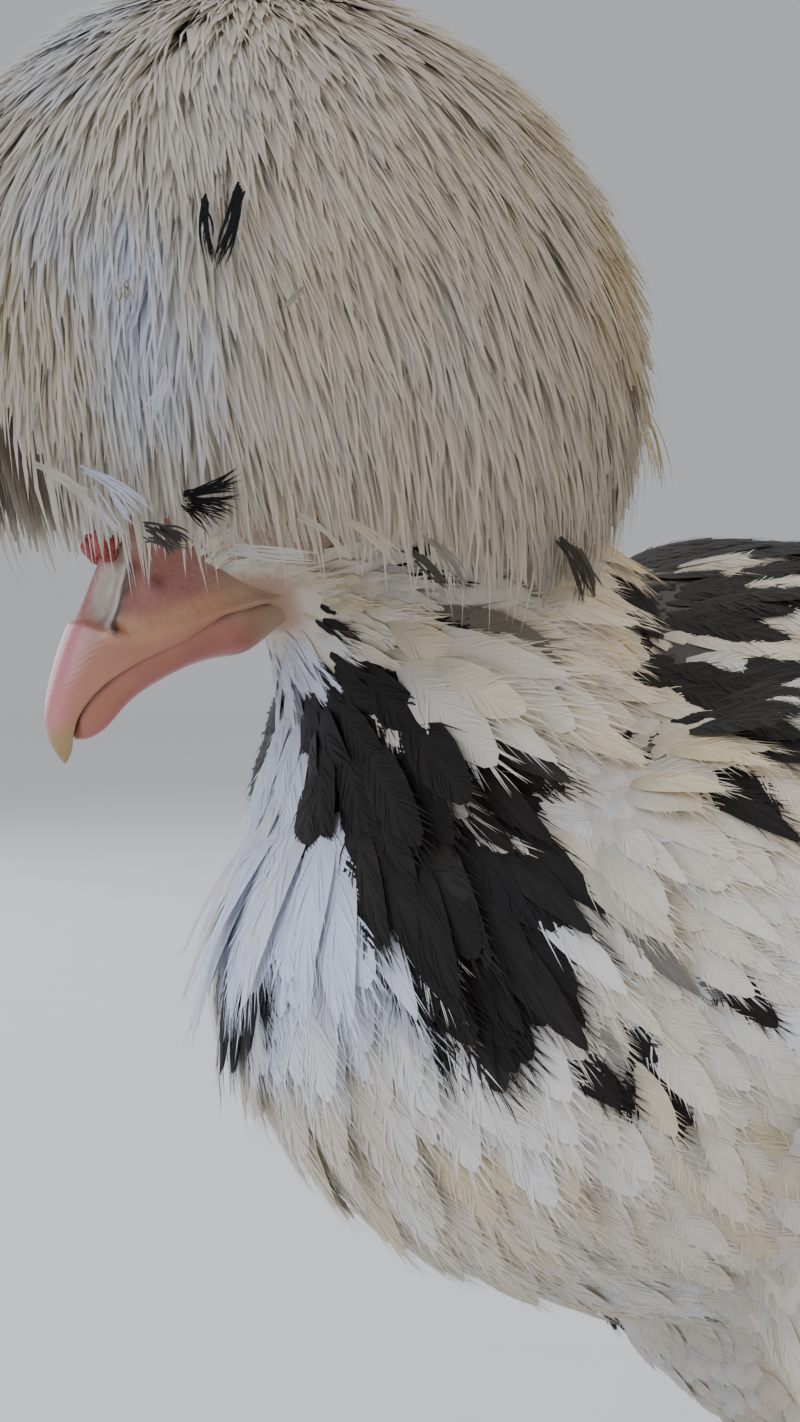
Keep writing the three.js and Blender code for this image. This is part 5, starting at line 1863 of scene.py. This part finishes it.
# LEGS. Slate shanks and toes with a pinkish tinge, covered with overlapping scutes in front and on
# top and with small round scales behind, on soft grey pads.
HOCK = np.array((16.5, model_y(20), hock_z + 0.2))
FOOT = np.array((17.5, model_y(1), 5.5))
FOOT_X, FOOT_Y = FOOT[:2]
SHANK = (
    (HOCK + (0, 0.3, 4.4), 0.3, 0.3),
    (HOCK + (0, 0.1, 3.3), 3.3, 3.5),
    (HOCK + (0, 0, 0.4), 3.9, 4.3),
    (lerp(HOCK, FOOT, 0.12), 3.0, 3.4),
    (lerp(HOCK, FOOT, 0.35), 2.75, 3.1),
    (lerp(HOCK, FOOT, 0.6), 2.75, 3.05),
    (lerp(HOCK, FOOT, 0.84), 3.1, 3.3),
    (FOOT + (0, 0, 0.4), 4.1, 4.2),
    (FOOT + (0, 0, -2.6), 4.1, 4.2),
    (FOOT + (0, 0, -4.6), 3.3, 3.4),
    (FOOT + (0, 0, -5.45), 0.5, 0.5),
)
TOES = {
    "inner": (-26, 27, 2.9, 9),
    "middle": (2, 37, 3.1, 13),
    "outer": (38, 29, 2.8, 10),
    "hind": (192, 13, 2.4, 5),
}
SCUTE_RISE = 0.34
SHANK_SCUTES = 15


def scaled_limb(table, front, rings, around, scutes, seed, plated=0.55):
    """A limb swept through (centre, half width, half depth) with plates on its front side and small
    scales behind: points, faces, and how much each point is a seam or a soft pad."""
    rows = smooth_line([(*centre, wide, deep) for centre, wide, deep in table], rings)
    centres, wide, deep = rows[:, :3], rows[:, 3], rows[:, 4]
    along = np.gradient(centres, axis=0)
    along /= np.linalg.norm(along, axis=1)[:, None]
    length = np.concatenate([[0], np.cumsum(np.linalg.norm(np.diff(centres, axis=0), axis=1))])
    share = length / length[-1]
    points, seams, pads = [], [], []
    for i in range(rings):
        ahead = np.asarray(front, float) - (front @ along[i]) * along[i]
        ahead /= np.linalg.norm(ahead)
        side = np.cross(along[i], ahead)
        for k in range(around):
            turn = 2 * math.pi * k / around
            c, s = math.cos(turn), math.sin(turn)
            way = ahead * c + side * s
            on_front = float(smoothstep(c, plated - 0.75, plated - 0.55))
            at = share[i] * scutes + 0.35 * abs(s)
            step = at % 1
            plate = SCUTE_RISE * (step**0.7 - 0.35) * (1 - smoothstep(step, 0.86, 1.0))
            edge = 1 - smoothstep(min(step, 1 - step), 0.03, 0.13)
            middle = centres[i] + ahead * c * deep[i] + side * s * wide[i]
            cells = noise.voronoi(Vector(middle) / 1.15 + Vector((seed, 0, 0)))[0]
            bead = 0.26 * (0.5 - cells[0]) * smoothstep(cells[1] - cells[0], 0.0, 0.25)
            gap = 1 - smoothstep(cells[1] - cells[0], 0.05, 0.22)
            ends = smoothstep(min(share[i], 1 - share[i]), 0.0, 0.05)
            off = (plate * on_front + bead * (1 - on_front)) * ends
            points.append(middle + way * off)
            seams.append(edge * on_front + gap * (1 - on_front) * 0.7)
            pads.append(float(smoothstep(-c, 0.35, 0.8)))
    faces = []
    for i in range(rings - 1):
        for k in range(around):
            a, b = i * around + k, i * around + (k + 1) % around
            faces.append((a, b, b + around, a + around))
    faces.append(tuple(range(around))[::-1])
    faces.append(tuple((rings - 1) * around + k for k in range(around)))
    return np.array(points), faces, np.array(seams, float), np.array(pads)


def toe_way(angle):
    return np.array((math.sin(math.radians(angle)), -math.cos(math.radians(angle)), 0))


def toe_table(angle, length, radius):
    """The toe's sections: it swells over its pads and narrows to the claw."""
    table = [(np.array((FOOT_X, FOOT_Y, radius * 0.9)), 0.3, 0.3)]
    for t in np.linspace(0.02, 1, 9):
        size = radius * lerp(1, 0.64, t) * (1 + 0.07 * math.cos(t * 2 * math.pi * 3))
        table.append((np.array((FOOT_X, FOOT_Y, 0)) + toe_way(angle) * length * t + (0, 0, size * 0.9), size, size))
    end = table[-1][0] + toe_way(angle) * 1.2
    return table + [(end, 0.4, 0.4)]


# Leg scales: hard slate horn, a little pinkish where the skin shows in the seams, paler on the plates
leg_scales, tree, shader = new_material("slate_scales")
place = add(tree, "ShaderNodeTexCoord").outputs["Object"]
clouds = add(tree, "ShaderNodeTexNoise", Vector=place, Scale=1 / (3.5 * MM), Detail=4.0).outputs["Fac"]
fine = add(tree, "ShaderNodeTexNoise", Vector=place, Scale=1 / (0.3 * MM), Detail=3.0).outputs["Fac"]
colour = blend(clouds, "#7d8490", "#a2a3a8")
colour = blend(mark("pad"), colour, "#b9a49b")
colour = blend(mark("seam"), colour, "#6a5754")
raised = add(tree, "ShaderNodeBump", Strength=0.25, Distance=0.08 * MM, Height=fine)
shade(tree, shader, Base_Color=colour, Roughness=0.42, Normal=raised.outputs[0])

# Claws: smooth horn, pale at the tip and slate at the root, with fine lengthwise lines
claw_horn, tree, shader = new_material("claw_horn")
place = add(tree, "ShaderNodeTexCoord").outputs["Object"]
clouds = add(tree, "ShaderNodeTexNoise", Vector=place, Scale=1 / (0.8 * MM), Detail=3.0).outputs["Fac"]
colour = blend(clouds, "#c9bdae", "#d8d0c4")
colour = blend(mark("root"), colour, "#7b7674")
lines = add(tree, "ShaderNodeBump", Strength=0.2, Distance=0.05 * MM, Height=clouds)
shade(tree, shader, Base_Color=colour, Roughness=0.3, Normal=lines.outputs[0])


def joined_mesh(name, parts, material, marks, side):
    """One piece from several shells, mirrored for the right side, standing on the floor."""
    points = np.concatenate([part[0] for part in parts]) * (side, 1, 1)
    points[:, 2] = np.maximum(points[:, 2], 0.02)
    faces, start = [], 0
    for part in parts:
        for face in part[1]:
            shifted = tuple(i + start for i in face)
            faces.append(shifted if side > 0 else shifted[::-1])
        start += len(part[0])
    piece = mesh_piece(name, points, faces, material)
    for index, key in enumerate(marks):
        give(piece.data, key, np.concatenate([part[2 + index] for part in parts]))
    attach(piece, "root")
    return piece


def claw_shell(angle, length, radius, rings=26, around=20):
    """A claw from inside the toe's end, arched, narrow and pointed."""
    size = radius * 0.64
    start = np.array((FOOT_X, FOOT_Y, 0)) + toe_way(angle) * length
    table = ((-1.4, 1.0, 0.1), (-0.5, 1.05, 0.72), (1.4, 1.2, 0.7), (3.4, 1.02, 0.46), (4.8, 0.66, 0.24), (5.6, 0.36, 0.02))
    rows = smooth_line([(reach, up * size, half * size) for reach, up, half in table], rings)
    across = np.cross(toe_way(angle), (0, 0, 1))
    points, roots = [], []
    for i, (reach, up, half) in enumerate(rows):
        for k in range(around):
            turn = 2 * math.pi * k / around
            ridge = half * (1 + 0.12 * max(0, math.cos(turn)) ** 4)
            points.append(
                start + toe_way(angle) * reach + np.array((0, 0, up + ridge * math.cos(turn))) + across * half * 0.72 * math.sin(turn)
            )
            roots.append(1 - float(smoothstep(reach, -0.2, 2.2)))
    faces = []
    for i in range(rings - 1):
        for k in range(around):
            a, b = i * around + k, i * around + (k + 1) % around
            faces.append((a, a + around, b + around, b))
    faces.append(tuple(range(around)))
    faces.append(tuple((rings - 1) * around + k for k in range(around))[::-1])
    return np.array(points), faces, np.array(roots)


FORWARD = np.array((0, -1, 0))
UPWARD = np.array((0, 0, 1))
for side, hand in ((1, "left"), (-1, "right")):
    parts = [scaled_limb(SHANK, FORWARD, 190, 44, SHANK_SCUTES, 3, 0.5)]
    claws = []
    for number, (angle, length, radius, scutes) in enumerate(TOES.values()):
        parts.append(scaled_limb(toe_table(angle, length, radius), UPWARD, int(length * 3.4), 32, scutes, number))
        claws.append(claw_shell(angle, length, radius))
    leg = joined_mesh(f"scaled_leg_{hand}", parts, leg_scales, ("seam", "pad"), side)
    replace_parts(leg, f"shank_{hand}", *[f"toe_{toe}_{hand}" for toe in TOES])
    nails = joined_mesh(f"claws_{hand}", claws, claw_horn, ("root",), side)
    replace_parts(nails, *[f"claw_{toe}_{hand}" for toe in TOES])

for kinds in (CONTOUR, LANCET, TUFT):
    for piece in list(kinds.objects):
        bpy.data.objects.remove(piece)
    bpy.data.collections.remove(kinds)

low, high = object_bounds()
